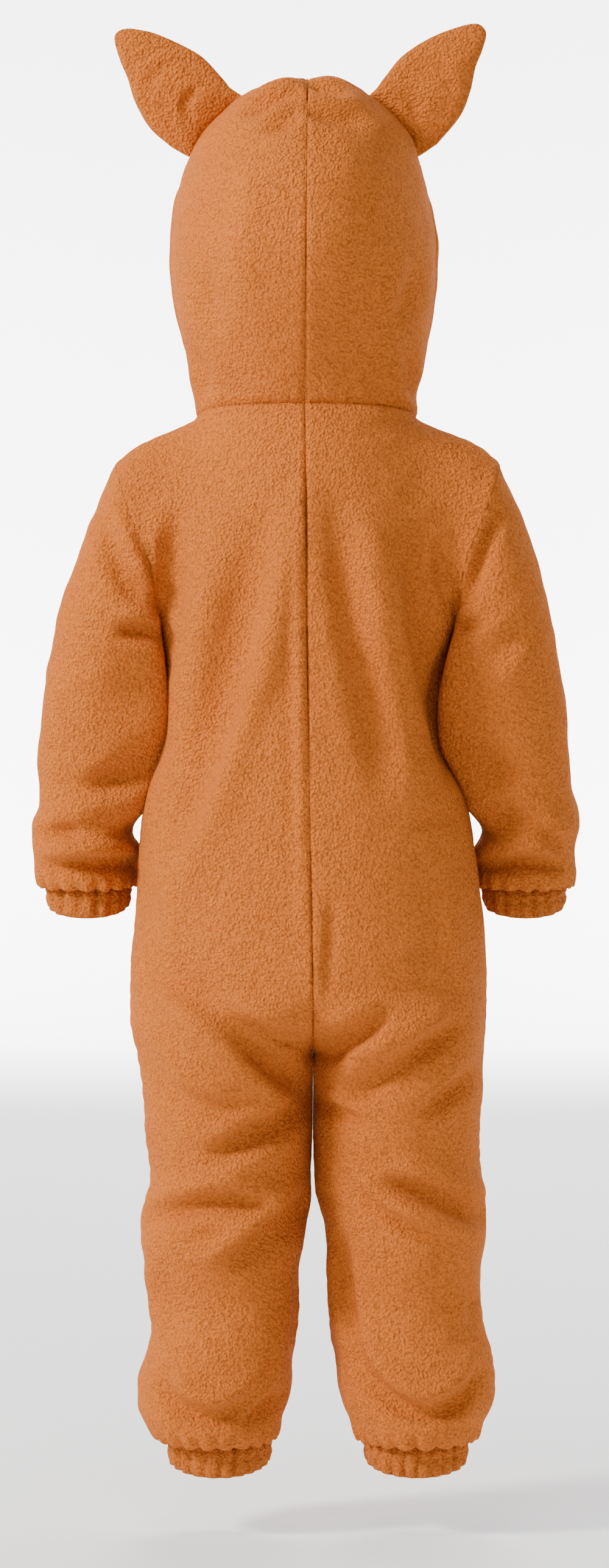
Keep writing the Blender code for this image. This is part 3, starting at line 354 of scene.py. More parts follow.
# How the sleeve's cap swells, and between which heights the sleeve lies along the body
CAP_SWELL = 6.0
CAP_DEPTH_SWELL = 4.0
LEAN_TOP_Z = -128.0
LEAN_END_Z = -276.0

# The line where the legs touch: how far they press, its places, and the gap that opens below
LEG_TOUCH = 0.8
THIGH_TOP_Z = -400.0
LEG_GAP_Z = -450.0
THIGH_END_Z = -462.0
KNEE_Z = -518.0
LEG_GAP_TOP = 0.03
LEG_GAP_LOW = 0.8

# The hood's face opening, and the dent where the ears are sewn on
HOOD_MIDDLE = (0.0, -10.0, 80.0)
FACE_TOP_Z = 176.0
CROWN_Z = 185.0
HOOD_HEM_WIDTH = 14.0
HOOD_HEM_GROOVE = 0.9
EAR_BED = 2.0
EAR_SINK = 1.6

# Zip: its tape, and its teeth as across, half-thickness and half-width of three sections
TAPE_WIDTH = 10.0
TAPE_THICKNESS = 0.8
TAPE_FRONT = 1.5
TAPE_BEHIND = 0.45
TAPE_SAG_RADIUS = 105.0
NECK_TUCK = 1.4
TOOTH_PITCH = 2.1
TOOTH_OVERLAP = 0.9
TOOTH_BEHIND = 1.05
FIRST_TOOTH = 4.0
TOOTH_SECTIONS = ((0.0, 0.30, 0.50), (1.5, 0.34, 0.52), (2.9, 0.30, 0.44))

# Colours of the fleece between the tufts (darker: painted shade in the gaps), on them, and at their tips
# (lighter where the nap is raised: a painted highlight)
FLEECE_COLORS = ((0.38, 0.086, 0.013), (0.70, 0.174, 0.023), (0.88, 0.28, 0.048))
# The cuffs' colours are the fleece's made darker: painted shade on the cuffs
SHADED_CUFF_COLORS = ((0.32, 0.076, 0.013), (0.64, 0.160, 0.022), (0.82, 0.26, 0.046))

# Stage and camera, in metres, with the sensor in millimetres. PHOTO_HEIGHT is what the picture shows
# from top to bottom, at PHOTO_DEPTH in front of the middle.
FLOOR_Z = -0.7125
STAGE_RADIUS = 9.5
STAGE_BEND = 4.0
STAGE_TOP = 7.0
STAGE_GLOW = 0.06
CAMERA_DISTANCE = 3.0
PHOTO_HEIGHT = 0.992
PHOTO_DEPTH = 0.017
PHOTO_CENTRE = (0.0019, 0.0, -0.2390)
SENSOR = 36.0

# Lights: place, what they point at, size in metres, power in watts, and colour where it isn't white
LIGHTS = [
    ("key", (2.4, 1.35, 1.6), (0, 0, -0.25), 0.8, 158.0, (1.0, 0.97, 0.93)),
    ("fill", (-2.2, 1.6, 0.4), (0, 0, -0.3), 2.2, 1.5),
    ("top", (0.5, 1.0, 2.4), (0, 0, -0.3), 1.0, 20.0),
    ("front", (-1.4, -2.0, 1.4), (0, 0, -0.2), 1.2, 26.0),
    ("rim left", (1.9, -1.1, 1.0), (0, 0, -0.1), 0.9, 12.0),
    ("rim right", (-1.9, -1.1, 0.6), (0, 0, -0.2), 0.9, 10.0),
    ("wall left", (2.2, -5.6, 1.4), (1.0, -9.0, -0.4), 1.8, 640.0),
    ("wall right", (-2.2, -5.6, 1.4), (-1.0, -9.0, -0.4), 1.8, 640.0),
    ("near floor", (0.0, 1.6, 2.6), (0.0, 0.4, -0.7), 1.4, 8.0),
    ("floor", (0.0, -3.6, 3.4), (0.0, -5.4, -0.7), 2.0, 320.0),
]


def column(table, name):
    """One named column of a table."""
    index = table["columns"].index(name)
    return np.array([row[index] for row in table["rows"]], dtype=float)


def smooth_read(table, name, at):
    """The named column read at any values of the first one, along a smooth curve through the rows."""
    keys = column(table, table["columns"][0])
    values = column(table, name)
    if keys[0] > keys[-1]:
        keys = keys[::-1]
        values = values[::-1]
    slopes = np.diff(values) / np.diff(keys)
    tangents = np.empty(len(keys))
    tangents[0] = slopes[0]
    tangents[-1] = slopes[-1]
    mean = 0.5 * (slopes[1:] + slopes[:-1])
    tangents[1:-1] = np.where(slopes[1:] * slopes[:-1] > 0, mean, 0.0)
    at = np.clip(np.asarray(at, dtype=float), keys[0], keys[-1])
    i = np.clip(np.searchsorted(keys, at) - 1, 0, len(keys) - 2)
    step = keys[i + 1] - keys[i]
    t = (at - keys[i]) / step
    return (values[i] * (1 + 2 * t) * (1 - t) ** 2 + step * tangents[i] * t * (1 - t) ** 2
            + values[i + 1] * t * t * (3 - 2 * t) + step * tangents[i + 1] * t * t * (t - 1))


def unit(vectors):
    """Directions of length 1."""
    length = np.linalg.norm(vectors, axis=-1, keepdims=True)
    return vectors / np.maximum(length, 1e-12)


def even_steps(count):
    """From 0 to 1 in a number of even steps."""
    return np.linspace(0, 1, count + 1)


def ease(t):
    """0 to 1 with level ends."""
    t = np.clip(t, 0.0, 1.0)
    return t * t * (3 - 2 * t)


def pack3(x, y, z):
    """Three arrays as one array of points."""
    return np.stack(np.broadcast_arrays(x, y, z), axis=-1).astype(float)


def waves(points, length, seed):
    """Soft irregular undulation between about -1 and 1, from seeded waves that run every way."""
    random = np.random.default_rng(seed)
    total = np.zeros(points.shape[:-1])
    count = 14
    for _ in range(count):
        way = random.normal(size=3)
        way /= np.linalg.norm(way)
        pitch = length * random.uniform(0.7, 1.5)
        total += np.sin(points @ way * (2 * pi / pitch) + random.uniform(0, 2 * pi))
    return total / sqrt(count) * 0.9


def smooth_line(line, parts=8):
    """A smooth curve through a fold's points."""
    line = np.array(line, dtype=float)
    ends = np.vstack([2 * line[0] - line[1], line, 2 * line[-1] - line[-2]])
    out = []
    for i in range(1, len(ends) - 2):
        p0, p1, p2, p3 = ends[i - 1:i + 3]
        for k in range(parts):
            t = k / parts
            out.append(0.5 * (2 * p1 + (p2 - p0) * t + (2 * p0 - 5 * p1 + 4 * p2 - p3) * t * t
                              + (3 * p1 - p0 - 3 * p2 + p3) * t ** 3))
    out.append(line[-1])
    return np.array(out)


def stroke(points, fade, width, x, z):
    """A soft brush stroke along a line of points: 1 on the line, 0 away from it."""
    steps = np.linalg.norm(np.diff(points, axis=0), axis=1)
    length = np.convolve(np.r_[steps[:1], steps, steps[-1:]], [0.5, 0.5], mode="valid")
    total = np.zeros(x.shape)
    for (px, pz), share in zip(points, fade * length / (width * sqrt(pi))):
        total += share * np.exp(-((x - px) ** 2 + (z - pz) ** 2) / (width * width))
    return total


def relief(folds, x, z, seed=0):
    """How far the folds push the cloth out. Each fades at its ends and has a softer swell above it."""
    random = np.random.default_rng(seed)
    total = np.zeros(np.broadcast(x, z).shape)
    for depth, breadth, points in folds:
        line = smooth_line(points)
        width = breadth * random.uniform(0.9, 1.1)
        low = line.min(axis=0) - FOLD_REACH * width
        high = line.max(axis=0) + FOLD_REACH * width
        near = (x > low[0]) & (x < high[0]) & (z > low[1]) & (z < high[1])
        if not near.any():
            continue
        run = np.r_[0, np.cumsum(np.linalg.norm(np.diff(line, axis=0), axis=1))]
        even = np.arange(0, run[-1], width / 3)
        line = np.stack([np.interp(even, run, line[:, k]) for k in range(2)], axis=1)
        place = even / run[-1]
        fade = 0.35 + 0.65 * ease(place / 0.35) * ease((1 - place) / 0.35)
        chord = unit(line[-1] - line[0])
        above = np.array([-chord[1], chord[0]])
        if above[1] + 0.4 * above[0] < 0:
            above = -above
        shape = stroke(line, fade, width, x[near], z[near])
        shape -= FOLD_SWELL * stroke(line + above * 1.7 * width, fade, 1.3 * width, x[near], z[near])
        total[near] += FOLD_GAIN * depth * shape
    return FOLD_LIMIT * np.tanh(total / FOLD_LIMIT)


def uneven(points, calm, coarse, fine, least=0.35):
    """Two sizes of undulation, each a height, a wavelength and a seed, weaker where the cloth is held."""
    total = sum(height * waves(points, length, seed) for height, length, seed in (coarse, fine))
    return total * (least + (1 - least) * calm)


def grid_normals(points, closed=False):
    """Directions across the surface at each point of a grid."""
    down = np.gradient(points, axis=0)
    if closed:
        wide = np.concatenate([points[:, -1:], points, points[:, :1]], axis=1)
        across = (wide[:, 2:] - wide[:, :-2]) / 2
    else:
        across = np.gradient(points, axis=1)
    return unit(np.cross(across, down))


def run_length(points, axis):
    """Distance in millimetres along a grid's rows or columns."""
    steps = np.linalg.norm(np.diff(points, axis=axis), axis=-1)
    total = np.cumsum(steps, axis=axis)
    first = np.zeros_like(np.take(total, [0], axis=axis))
    return np.concatenate([first, total], axis=axis)


def seam_groove(distance, along, points, seed, depth=SEAM_DEPTH):
    """A sewn edge: the cloth turns in at the seam and puckers a little beside it."""
    groove = -depth * np.exp(-(distance / SEAM_WIDTH) ** 2) * (0.8 + 0.2 * waves(points, 40.0, seed))
    phase = 2 * pi * along / PUCKER_LENGTH + 2.2 * waves(points, 60.0, seed + 1)
    strength = np.clip(0.5 + 0.6 * waves(points, 70.0, seed + 2), 0.0, 1.3)
    return groove + PUCKER_DEPTH * strength * np.sin(phase) * np.exp(-((distance - 4.0) / 5.0) ** 2)


def mesh_wall(name, outer, inner, closed):
    """A closed wall between two grids of points, in millimetres."""
    rows, columns = outer.shape[:2]
    count = rows * columns
    points = np.concatenate([outer.reshape(-1, 3), inner.reshape(-1, 3)]) * MM
    spans = columns if closed else columns - 1
    r, c = np.meshgrid(np.arange(rows - 1), np.arange(spans), indexing="ij")
    d = (c + 1) % columns
    outside = np.stack([r * columns + c, r * columns + d, (r + 1) * columns + d, (r + 1) * columns + c], -1)
    outside = outside.reshape(-1, 4)
    faces = [outside, outside[:, ::-1] + count]
    c = np.arange(spans)
    d = (c + 1) % columns
    top = np.stack([d, c, c + count, d + count], -1)
    last = (rows - 1) * columns
    bottom = np.stack([last + c, last + d, last + d + count, last + c + count], -1)
    faces += [top, bottom]
    if not closed:
        r = np.arange(rows - 1) * columns
        faces.append(np.stack([r, r + columns, r + columns + count, r + count], -1))
        e = r + columns - 1
        faces.append(np.stack([e + columns, e, e + count, e + columns + count], -1))
    faces = np.concatenate(faces)
    mesh = bpy.data.meshes.new(name)
    mesh.from_pydata(points.tolist(), [], faces.tolist())
    return finish_mesh(name, mesh)


def finish_mesh(name, mesh):
    """Welds what coincides, faces the skin outward and makes the object."""
    builder = bmesh.new()
    builder.from_mesh(mesh)
    bmesh.ops.remove_doubles(builder, verts=builder.verts, dist=2e-6)
    bmesh.ops.recalc_face_normals(builder, faces=builder.faces)
    if builder.calc_volume(signed=True) < 0:
        bmesh.ops.reverse_faces(builder, faces=builder.faces)
    builder.to_mesh(mesh)
    builder.free()
    mesh.validate()
    mesh.shade_smooth()
    thing = bpy.data.objects.new(name, mesh)
    bpy.context.scene.collection.objects.link(thing)
    return thing


# Body panels

def side_name(side):
    return "left" if side > 0 else "right"


def face_name(face):
    return "back" if face > 0 else "front"


def crotch_share(z):
    """0 above the crotch zone, 1 in the legs."""
    return np.clip((CROTCH_Z + CROTCH_RISE - z) / CROTCH_RISE, 0.0, 1.0)


def front_edge(z):
    """Half the slot that the front panels leave for the zip, closing below it."""
    return HALF_GAP + (ZIP_SLOT - HALF_GAP) * ease((z - ZIP_END_Z + 12.0) / 24.0)


def section_shape(side, z):
    """Centre and radius across, and how far the half-section has become a leg."""
    out = smooth_read(BODY_WIDTHS, side_name(side), z)
    edge = side * smooth_read(INNER_EDGES, side_name(side), z)
    share = crotch_share(z)
    radius = (out - edge) / (1 + share)
    return edge + share * radius, radius, share


def section_grid(side, face, z, u):
    """Torso or leg sections: u runs from the centre (or inside leg) seam to the side."""
    centre, radius, share = section_shape(side, z)
    slot = front_edge(z) if face < 0 else HALF_GAP
    slot = slot * (1 - ease((CROTCH_Z - z) / 20.0))
    start = np.arcsin(np.clip(slot / radius - share, -1.0, 1.0))
    angle = start + (pi / 2 - start) * u
    middle = smooth_read(BODY_DEPTHS, "middle", z)
    depth = smooth_read(BODY_DEPTHS, face_name(face), z)
    reach = np.maximum(depth * np.cos(angle), HALF_GAP)
    points = pack3(side * (centre + radius * np.sin(angle)), middle + face * reach, z + 0 * u)
    flat = unit(pack3(side * np.sin(angle) / radius, face * np.cos(angle) / depth, 0.0))
    return points, flat


def armhole_point(side, face, share):
    """The armhole seam: share 0 is the underarm, 1 the shoulder point."""
    middle_z = (UNDERARM_Z + SHOULDER_Z) / 2
    half = (SHOULDER_Z - UNDERARM_Z) / 2
    z = middle_z - half * np.cos(pi * share)
    x = smooth_read(ARMHOLE_X, "x", z)
    y = np.maximum(ARMHOLE_HALF_DEPTH * np.sin(pi * share), HALF_GAP)
    return pack3(side * x, face * y, z)


def armhole_rim(side, face, share):
    """Direction across the rim of the armhole, shared by the panel and the sleeve."""
    mx, my, mz = (smooth_read(ARMHOLE_RIM, name, share) for name in ("mx", "my", "mz"))
    return unit(pack3(side * mx, face * my, mz))


def armhole_seam(side, face, share, way):
    """The sunk edge that panel and sleeve share in the armhole, and the direction across it."""
    at = armhole_point(side, face, share)
    rim = armhole_rim(side, face, share)
    away = np.array([side * 0.96, 0.0, -0.27])
    away = unit(away - rim * np.sum(rim * away, axis=-1, keepdims=True))
    at = at - rim * SEAM_DEPTH + away * way * SEAM_TOUCH
    at[..., 1] = face * np.maximum(face * at[..., 1], 0.0)
    return at, rim


def neck_point(side, turn):
    """The neck seam: turn is 0 at the middle of the back and pi at the middle of the front."""
    drop = NECK_FRONT_DROP * ((1 - np.cos(turn)) / 2) ** 2
    x = smooth_read(INNER_EDGES, "left", 0) * np.cos(turn / 2) ** 2
    return pack3(side * NECK_HALF_WIDTH * np.sin(turn) + x, NECK_HALF_DEPTH * np.cos(turn), -drop)


def neck_rim(side, turn):
    """Direction across the rim of the neck seam, shared by the panels and the hood."""
    out = unit(pack3(side * np.sin(turn) / NECK_HALF_WIDTH, np.cos(turn) / NECK_HALF_DEPTH, 0.0))
    return unit(out + np.array([0, 0, 0.45]))


def neck_seam(side, turn, lift=0.0):
    """The sunk edge that panels and hood share at the neck."""
    return neck_point(side, turn) - neck_rim(side, turn) * SEAM_DEPTH + np.array([0, 0, lift])


def top_edge(side, face, u):
    """The top edge of a body panel: neck seam, then shoulder seam."""
    neck_side = neck_point(side, pi / 2)
    first = asin((float(front_edge(0.0)) if face < 0 else HALF_GAP) / NECK_HALF_WIDTH)
    turn = np.maximum(first, pi / 2 * np.minimum(u / NECK_COLUMN, 1.0))
    neck = neck_point(side, turn if face > 0 else pi - turn)
    neck[..., 1] = face * np.maximum(np.abs(neck[..., 1]), HALF_GAP)
    share = np.clip((u - NECK_COLUMN) / (1 - NECK_COLUMN), 0.0, 1.0)
    x = smooth_read(SHOULDER, "x", share)
    z = smooth_read(SHOULDER, "z", share) + neck_side[2] * (1 - share)
    x = side * x + (neck_side[0] - side * NECK_HALF_WIDTH) * (1 - share)
    shoulder = pack3(x, face * HALF_GAP, z)
    return np.where((u <= NECK_COLUMN)[..., None], neck, shoulder)


def profile_grid(side, face, share, u):
    """From the underarm level (share 0) up to the top edge (share 1) along a rounded profile."""
    bottom, _ = section_grid(side, face, np.full_like(u, UNDERARM_Z), u)
    top = top_edge(side, face, u)
    limit = (0.74 + 0.26 * ease((u - NECK_COLUMN) / 0.2)) * pi / 2
    turn = share * limit
    rise = np.sin(turn) / np.sin(limit)
    pull = (np.cos(turn) - np.cos(limit)) / (1 - np.cos(limit))
    x = bottom[..., 0] + (top[..., 0] - bottom[..., 0]) * share
    y = top[..., 1] + (bottom[..., 1] - top[..., 1]) * pull
    z = bottom[..., 2] + (top[..., 2] - bottom[..., 2]) * rise
    return pack3(x, y, z)


def yoke_grid(side, face, share, u):
    """The panel above the underarm, drawn to the armhole at its outer edge."""
    correction = armhole_point(side, face, share) - profile_grid(side, face, share, np.ones_like(u))
    return profile_grid(side, face, share, u) + u[..., None] ** 3 * correction


def panel_surface(side, face):
    """A whole body panel: its points, level outward directions, each row's zone, and u."""
    even = even_steps(PANEL_STEPS)
    u = 0.55 * even + 0.45 * (0.5 - 0.5 * np.cos(pi * even))
    share, across = np.meshgrid(1 - even_steps(YOKE_STEPS), u, indexing="ij")
    parts = [yoke_grid(side, face, share, across)]
    flats = [np.zeros_like(parts[0])]
    zones = ["yoke"] * (YOKE_STEPS + 1)
    torso, crotch, leg = (even_steps(count)[1:] for count in (TORSO_STEPS, CROTCH_STEPS, LEG_STEPS))
    seat_z = CROTCH_Z + CROTCH_RISE
    heights = {
        "torso": UNDERARM_Z + (seat_z - UNDERARM_Z) * torso,
        "crotch": seat_z - CROTCH_RISE * np.sin(crotch * pi / 2),
        "leg": CROTCH_Z + (LEG_END_Z - CROTCH_Z) * (1 - (1 - leg) ** 1.35),
    }
    for zone, levels in heights.items():
        z, across = np.meshgrid(levels, u, indexing="ij")
        points, flat = section_grid(side, face, z, across)
        if zone == "leg":
            share = (CROTCH_Z - z) / (CROTCH_Z - LEG_END_Z)
            dip = ANKLE["top_dip"] * ease((share - 0.75) / 0.25)
            depth = smooth_read(BODY_DEPTHS, "back", z)
            points[..., 2] -= dip * (points[..., 1] - smooth_read(BODY_DEPTHS, "middle", z)) / depth
        parts.append(points)
        flats.append(flat)
        zones += [zone] * len(levels)
    return np.concatenate(parts), np.concatenate(flats), np.array(zones), u


def soften_yoke(base, zones, u):
    """Rounds the crease that runs down from the corner between neck and shoulder seams."""
    rows = zones == "yoke"
    part = base[rows]
    depth = run_length(part, 0)
    weight = 0.5 * ease(depth / 22.0) * ease((130.0 - depth) / 60.0)
    weight = weight * np.exp(-((u - NECK_COLUMN) / 0.3) ** 2)[None, :]
    weight[:, [0, -1]] = 0
    for _ in range(YOKE_SOFTENING):
        mean = part.copy()
        mean[:, 1:-1] = 0.5 * (part[:, :-2] + part[:, 2:])
        part = part + weight[..., None] * (mean - part)
    base[rows] = part
    return base


def panel_normals(points, flats, zones, face):
    """Outward directions: across the grid itself, and level round the crotch and at the leg's end."""
    normals = grid_normals(points)
    facing = np.where((zones == "yoke")[:, None, None], np.array([0, face, 0.8]), flats)
    flip = np.sign(np.sum(normals * facing, axis=-1, keepdims=True))
    normals = normals * np.where(flip == 0, 1, flip)
    z = points[..., 2:3]
    weight = 1 - np.exp(-((z - CROTCH_Z - 12) / 26.0) ** 4)
    weight = weight * (1 - ease((LEG_END_Z + 9 - z) / 7.0))
    weight = np.where((zones == "yoke")[:, None, None], 1.0, weight)
    return unit(flats * (1 - weight) + normals * weight)


def close_legs(side, points, across):
    """The inner flanks of the legs nearly touch above the knees, and never pass the line between them."""
    z = points[..., 2]
    left, right = (smooth_read(INNER_EDGES, name, z) for name in ("left", "right"))
    want = LEG_GAP_TOP + (LEG_GAP_LOW - LEG_GAP_TOP) * ease((LEG_GAP_Z - z) / 36.0)
    near = np.exp(-(across / 20.0) ** 2) * ease((THIGH_TOP_Z - z) / 8.0) * ease((z - KNEE_Z) / 26.0)
    close = np.maximum((left - right) / 2 - want, 0.0) * near
    x = side * (points[..., 0] - (left + right) / 2) - close
    moved = points.copy()
    moved[..., 0] = (left + right) / 2 + side * np.maximum(x, LEG_GAP_TOP)
    return moved


def panel_push(side, face, base, zones):
    """How far folds, seams and gathers move a panel out, with the height above its hem and the pleats."""
    along = run_length(base, 0)
    across = run_length(base, 1)
    to_side = across[:, -1:] - across
    x, z = base[..., 0], base[..., 2]
    yoke = (zones == "yoke")[:, None]
    leg = (zones == "leg")[:, None]
    calm = ease(to_side / 12.0) * np.where(yoke, ease(along / 25.0), 1.0)
    calm = calm * ease((z - LEG_END_Z) / 14.0) * np.where(leg, ease((across + 1) / 16.0), 1.0)
    if face < 0:
        calm = calm * np.where(leg, 1.0, ease(across / 14.0))
    folds, share = (BACK_FOLDS, 1.0) if face > 0 else (FRONT_FOLDS, FRONT_FOLD_SHARE)
    push = relief(folds, x, z, 10 + side * 2 + face) * calm * share
    push += uneven(base, calm, (0.75, 58.0, 3), (0.28, 19.0, 4))
    push += seam_groove(to_side, along, base, 21, np.where(yoke, SEAM_DEPTH, SIDE_SEAM_DEPTH))
    if face > 0:
        push += seam_groove(across, along, base, 22, np.where(leg, SIDE_SEAM_DEPTH, SEAM_DEPTH))
    push += np.where(yoke, seam_groove(along, across, base, 23), 0.0)
    touch = ease((THIGH_TOP_Z - z) / 12.0) * ease((z - THIGH_END_Z) / 16.0)
    touch = np.exp(-(across / 16.0) ** 2) * touch
    push += np.where(leg | (zones == "crotch")[:, None], LEG_TOUCH * touch, 0.0)
    middle = ankle_place(side)[0]
    turn = np.arctan2(base[..., 1] - middle[1], base[..., 0] - middle[0])
    near_end = ease((LEG_END_Z + GATHER_REACH - z) / GATHER_REACH)
    pleat = gather_wave(turn, ANKLE["gathers"], 5 + side)
    height = z - LEG_END_Z + ANKLE["top_dip"] * np.sin(turn)
    push += near_end ** 2 * ANKLE_PLEAT * pleat * ease((height + 2) / 5.0)
    return push, height, pleat


def sew_edge(side, rows, column, base, inward, outer, inner, slant=0.0):
    """Turns an edge in at a seam between left and right, its lip slanted so that no light passes."""
    outer[rows, column] = base[rows, column] - inward * SEAM_DEPTH
    inner[rows, column] = outer[rows, column] - inward * CLOTH
    outer[rows, column, 0] = base[rows, column, 0] - side * SEAM_EASE
    inner[rows, column, 0] = outer[rows, column, 0] + slant


def sew_armhole(side, face, outer, inner):
    """The panel's edge in the armhole."""
    rows = slice(0, YOKE_STEPS + 1)
    armhole, rim = armhole_seam(side, face, 1 - even_steps(YOKE_STEPS), -1)
    outer[rows, -1] = armhole
    inner[rows, -1] = armhole - rim * CLOTH
    inner[rows, -1, 1] = face * np.maximum(face * inner[rows, -1, 1], SEAM_TOUCH)


def sew_top(side, face, u, outer, inner):
    """The neck seam and the shoulder seam."""
    neck = u <= NECK_COLUMN
    turn = u[neck] / NECK_COLUMN * pi / 2
    turn = turn if face > 0 else pi - turn
    outer[0, neck] = neck_seam(side, turn)
    inner[0, neck] = outer[0, neck] - neck_rim(side, turn) * CLOTH
    outer[0, ~neck] = top_edge(side, face, u[~neck]) - np.array([0, 0, SEAM_DEPTH * 0.8])
    inner[0, ~neck] = outer[0, ~neck] - np.array([0, 0, CLOTH])
    outer[0, ~neck, 1] = inner[0, ~neck, 1] = face * SEAM_TOUCH


def sew_flank(face, rows, column, base, flats, outer, inner):
    """A side seam or an inside leg seam, where back and front meet."""
    outer[rows, column] = base[rows, column] - flats[rows, column] * SIDE_SEAM_DEPTH
    inner[rows, column] = outer[rows, column] - flats[rows, column] * CLOTH
    outer[rows, column, 1] = inner[rows, column, 1] = base[rows, column, 1] - face * SEAM_EASE


def sew_centre(side, face, base, normals, zones, outer, inner):
    """The centre back seam and the crotch seam. The front's centre edge stays free for the zip."""
    seat = zones == "crotch"
    rows = zones != "leg" if face > 0 else seat
    inward = unit(normals[:, 0] * MIDDLE_PLANE)
    inward[seat] = unit(np.array([0.0, face, -1.0]) * ease(crotch_share(base[seat, :1, 2]))
                        + np.array([0.0, face, 0.0]))
    slant = np.where(seat, 0.0, SEAM_SLANT)
    sew_edge(side, rows, 0, base, inward[rows], outer, inner, slant[rows])
    for skin in (outer, inner):
        skin[rows, 0, 1] = face * np.maximum(face * skin[rows, 0, 1], SEAM_TOUCH)


def add_panel(side, face, material):
    """A back or front panel, from the shoulder to the ankle."""
    base, flats, zones, u = panel_surface(side, face)
    base = soften_yoke(base, zones, u)
    normals = panel_normals(base, flats, zones, face)
    push, height, pleat = panel_push(side, face, base, zones)
    leg = zones == "leg"
    lower = leg | (zones == "crotch")
    outer = base + normals * push[..., None]
    outer = np.where(lower[:, None, None], close_legs(side, outer, run_length(base, 1)), outer)
    outer = np.where(leg[:, None, None], roll_hem(outer, height, normals, pleat), outer)
    inner = outer - normals * CLOTH
    sew_armhole(side, face, outer, inner)
    sew_top(side, face, u, outer, inner)
    sew_flank(face, slice(YOKE_STEPS + 1, None), -1, base, flats, outer, inner)
    sew_centre(side, face, base, normals, zones, outer, inner)
    sew_flank(face, leg, 0, base, flats, outer, inner)
    name = f"{face_name(face)}_{side_name(side)}"
    return dress(mesh_wall(f"cloth_{name}", outer, inner, False), material, name)


def gather_wave(turn, count, seed):
    """Rounded pleats with tight valleys between them, uneven from one to the next."""
    random = np.random.default_rng(seed)
    phases = random.uniform(0, 2 * pi, 3)
    drift = 0.35 * np.sin(2 * turn + phases[0]) + 0.25 * np.sin(3 * turn + phases[1])
    size = 1 + 0.3 * np.sin(5 * turn + phases[2])
    return size * (1.6 * np.abs(np.cos(count * turn / 2 + drift)) - 1.0)


def roll_hem(outer, height, out, pleat):
    """Lets the last of the cloth swell out and hang in scallops over the top of a cuff."""
    lip = np.exp(-((height - 3.4) / 2.4) ** 2) * ease(height / 1.5)
    swell = np.exp(-((height - 5.5) / 4.5) ** 2) * ease(height / 2.0)
    drop = HEM_DROP * lip * (0.8 + 0.25 * np.clip(pleat, -1.0, 1.0))
    return outer + out * (HEM_SWELL * swell)[..., None] - pack3(0.0, 0.0, drop)


def dress(piece, material, node):
    """Gives a piece its material and body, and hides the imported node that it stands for."""
    piece.data.materials.clear()
    piece.data.materials.append(material)
    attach(piece, "garment")
    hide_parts(node)
    return piece


# Sleeves and cuffs

def sleeve_table(side):
    """The sizes of one sleeve."""
    return SLEEVE_LEFT if side > 0 else SLEEVE_RIGHT


def sleeve_ring(side, z, angle):
    """Level sections of the sleeve."""
    inner, outer, middle_y, half_depth = (smooth_read(sleeve_table(side), name, z)
                                          for name in ("inner", "outer", "middle_y", "half_depth"))
    dip = WRIST["top_dip"] * ease((ELBOW_Z - z) / (ELBOW_Z - SLEEVE_END_Z))
    x = (inner + outer) / 2 + (outer - inner) / 2 * np.cos(angle)
    return pack3(side * x, middle_y + half_depth * np.sin(angle), z - dip * np.sin(angle))


def sleeve_start(side, angle):
    """The sleeve's edge in the armhole, and the direction across its rim."""
    back = angle <= pi
    share = np.where(back, 1 - angle / pi, (angle - pi) / pi)
    behind, behind_rim = armhole_seam(side, 1, share, 1)
    before, before_rim = armhole_seam(side, -1, share, 1)
    back = back[..., None]
    return np.where(back, behind, before), np.where(back, behind_rim, before_rim)


def lean_on_body(side, points, angles):
    """The sleeve's inner flank lies along the body's side below the armhole, and rolls over its edge."""
    z = points[..., 2]
    body = smooth_read(BODY_WIDTHS, side_name(side), z)
    want = body + 0.6 - 2.4 * np.exp(-((angles - 0.78 * pi) / 0.35) ** 2)
    share = np.exp(-((angles - 0.86 * pi) / 0.62) ** 4)
    share = share * ease((LEAN_TOP_Z - z) / 14.0) * ease((z - LEAN_END_Z) / 24.0)
    lean = np.minimum(want - side * points[..., 0], 0.0) * share
    return pack3(side * lean, 0.0, 0.0)


def sleeve_surface(side, angles, start):
    """The sleeve's points from the armhole down, and each row's height above the hem."""
    end = sleeve_ring(side, np.full_like(angles, CAP_END_Z), angles)
    t = even_steps(CAP_STEPS)[:, None]
    swell = np.sin(pi * t)
    cap = start + (end - start) * t[..., None]
    cap[..., 0] += side * CAP_SWELL * swell * ((1 + np.cos(angles)) / 2) ** 2
    cap[..., 1] += CAP_DEPTH_SWELL * swell * np.sin(angles)
    down = 1 - (1 - even_steps(ARM_STEPS)[1:]) ** 1.5
    z, turn = np.meshgrid(CAP_END_Z + (SLEEVE_END_Z - CAP_END_Z) * down, angles, indexing="ij")
    base = np.concatenate([cap, sleeve_ring(side, z, turn)])
    height = np.r_[np.full(CAP_STEPS + 1, FAR_FROM_HEM), (SLEEVE_END_Z - CAP_END_Z) * (down - 1)]
    return base, height[:, None] + 0 * base[..., 2]


def sleeve_normals(base):
    """Outward directions, level at the hem."""
    normals = grid_normals(base, closed=True)
    middle = base.mean(axis=1, keepdims=True)
    if np.mean(np.sum(normals * (base - middle), axis=-1)) < 0:
        normals = -normals
    level = ease((base[..., 2:3] - SLEEVE_END_Z - 2) / 6.0)
    return unit(normals * np.concatenate([np.ones_like(base[..., :2]), level], axis=-1))


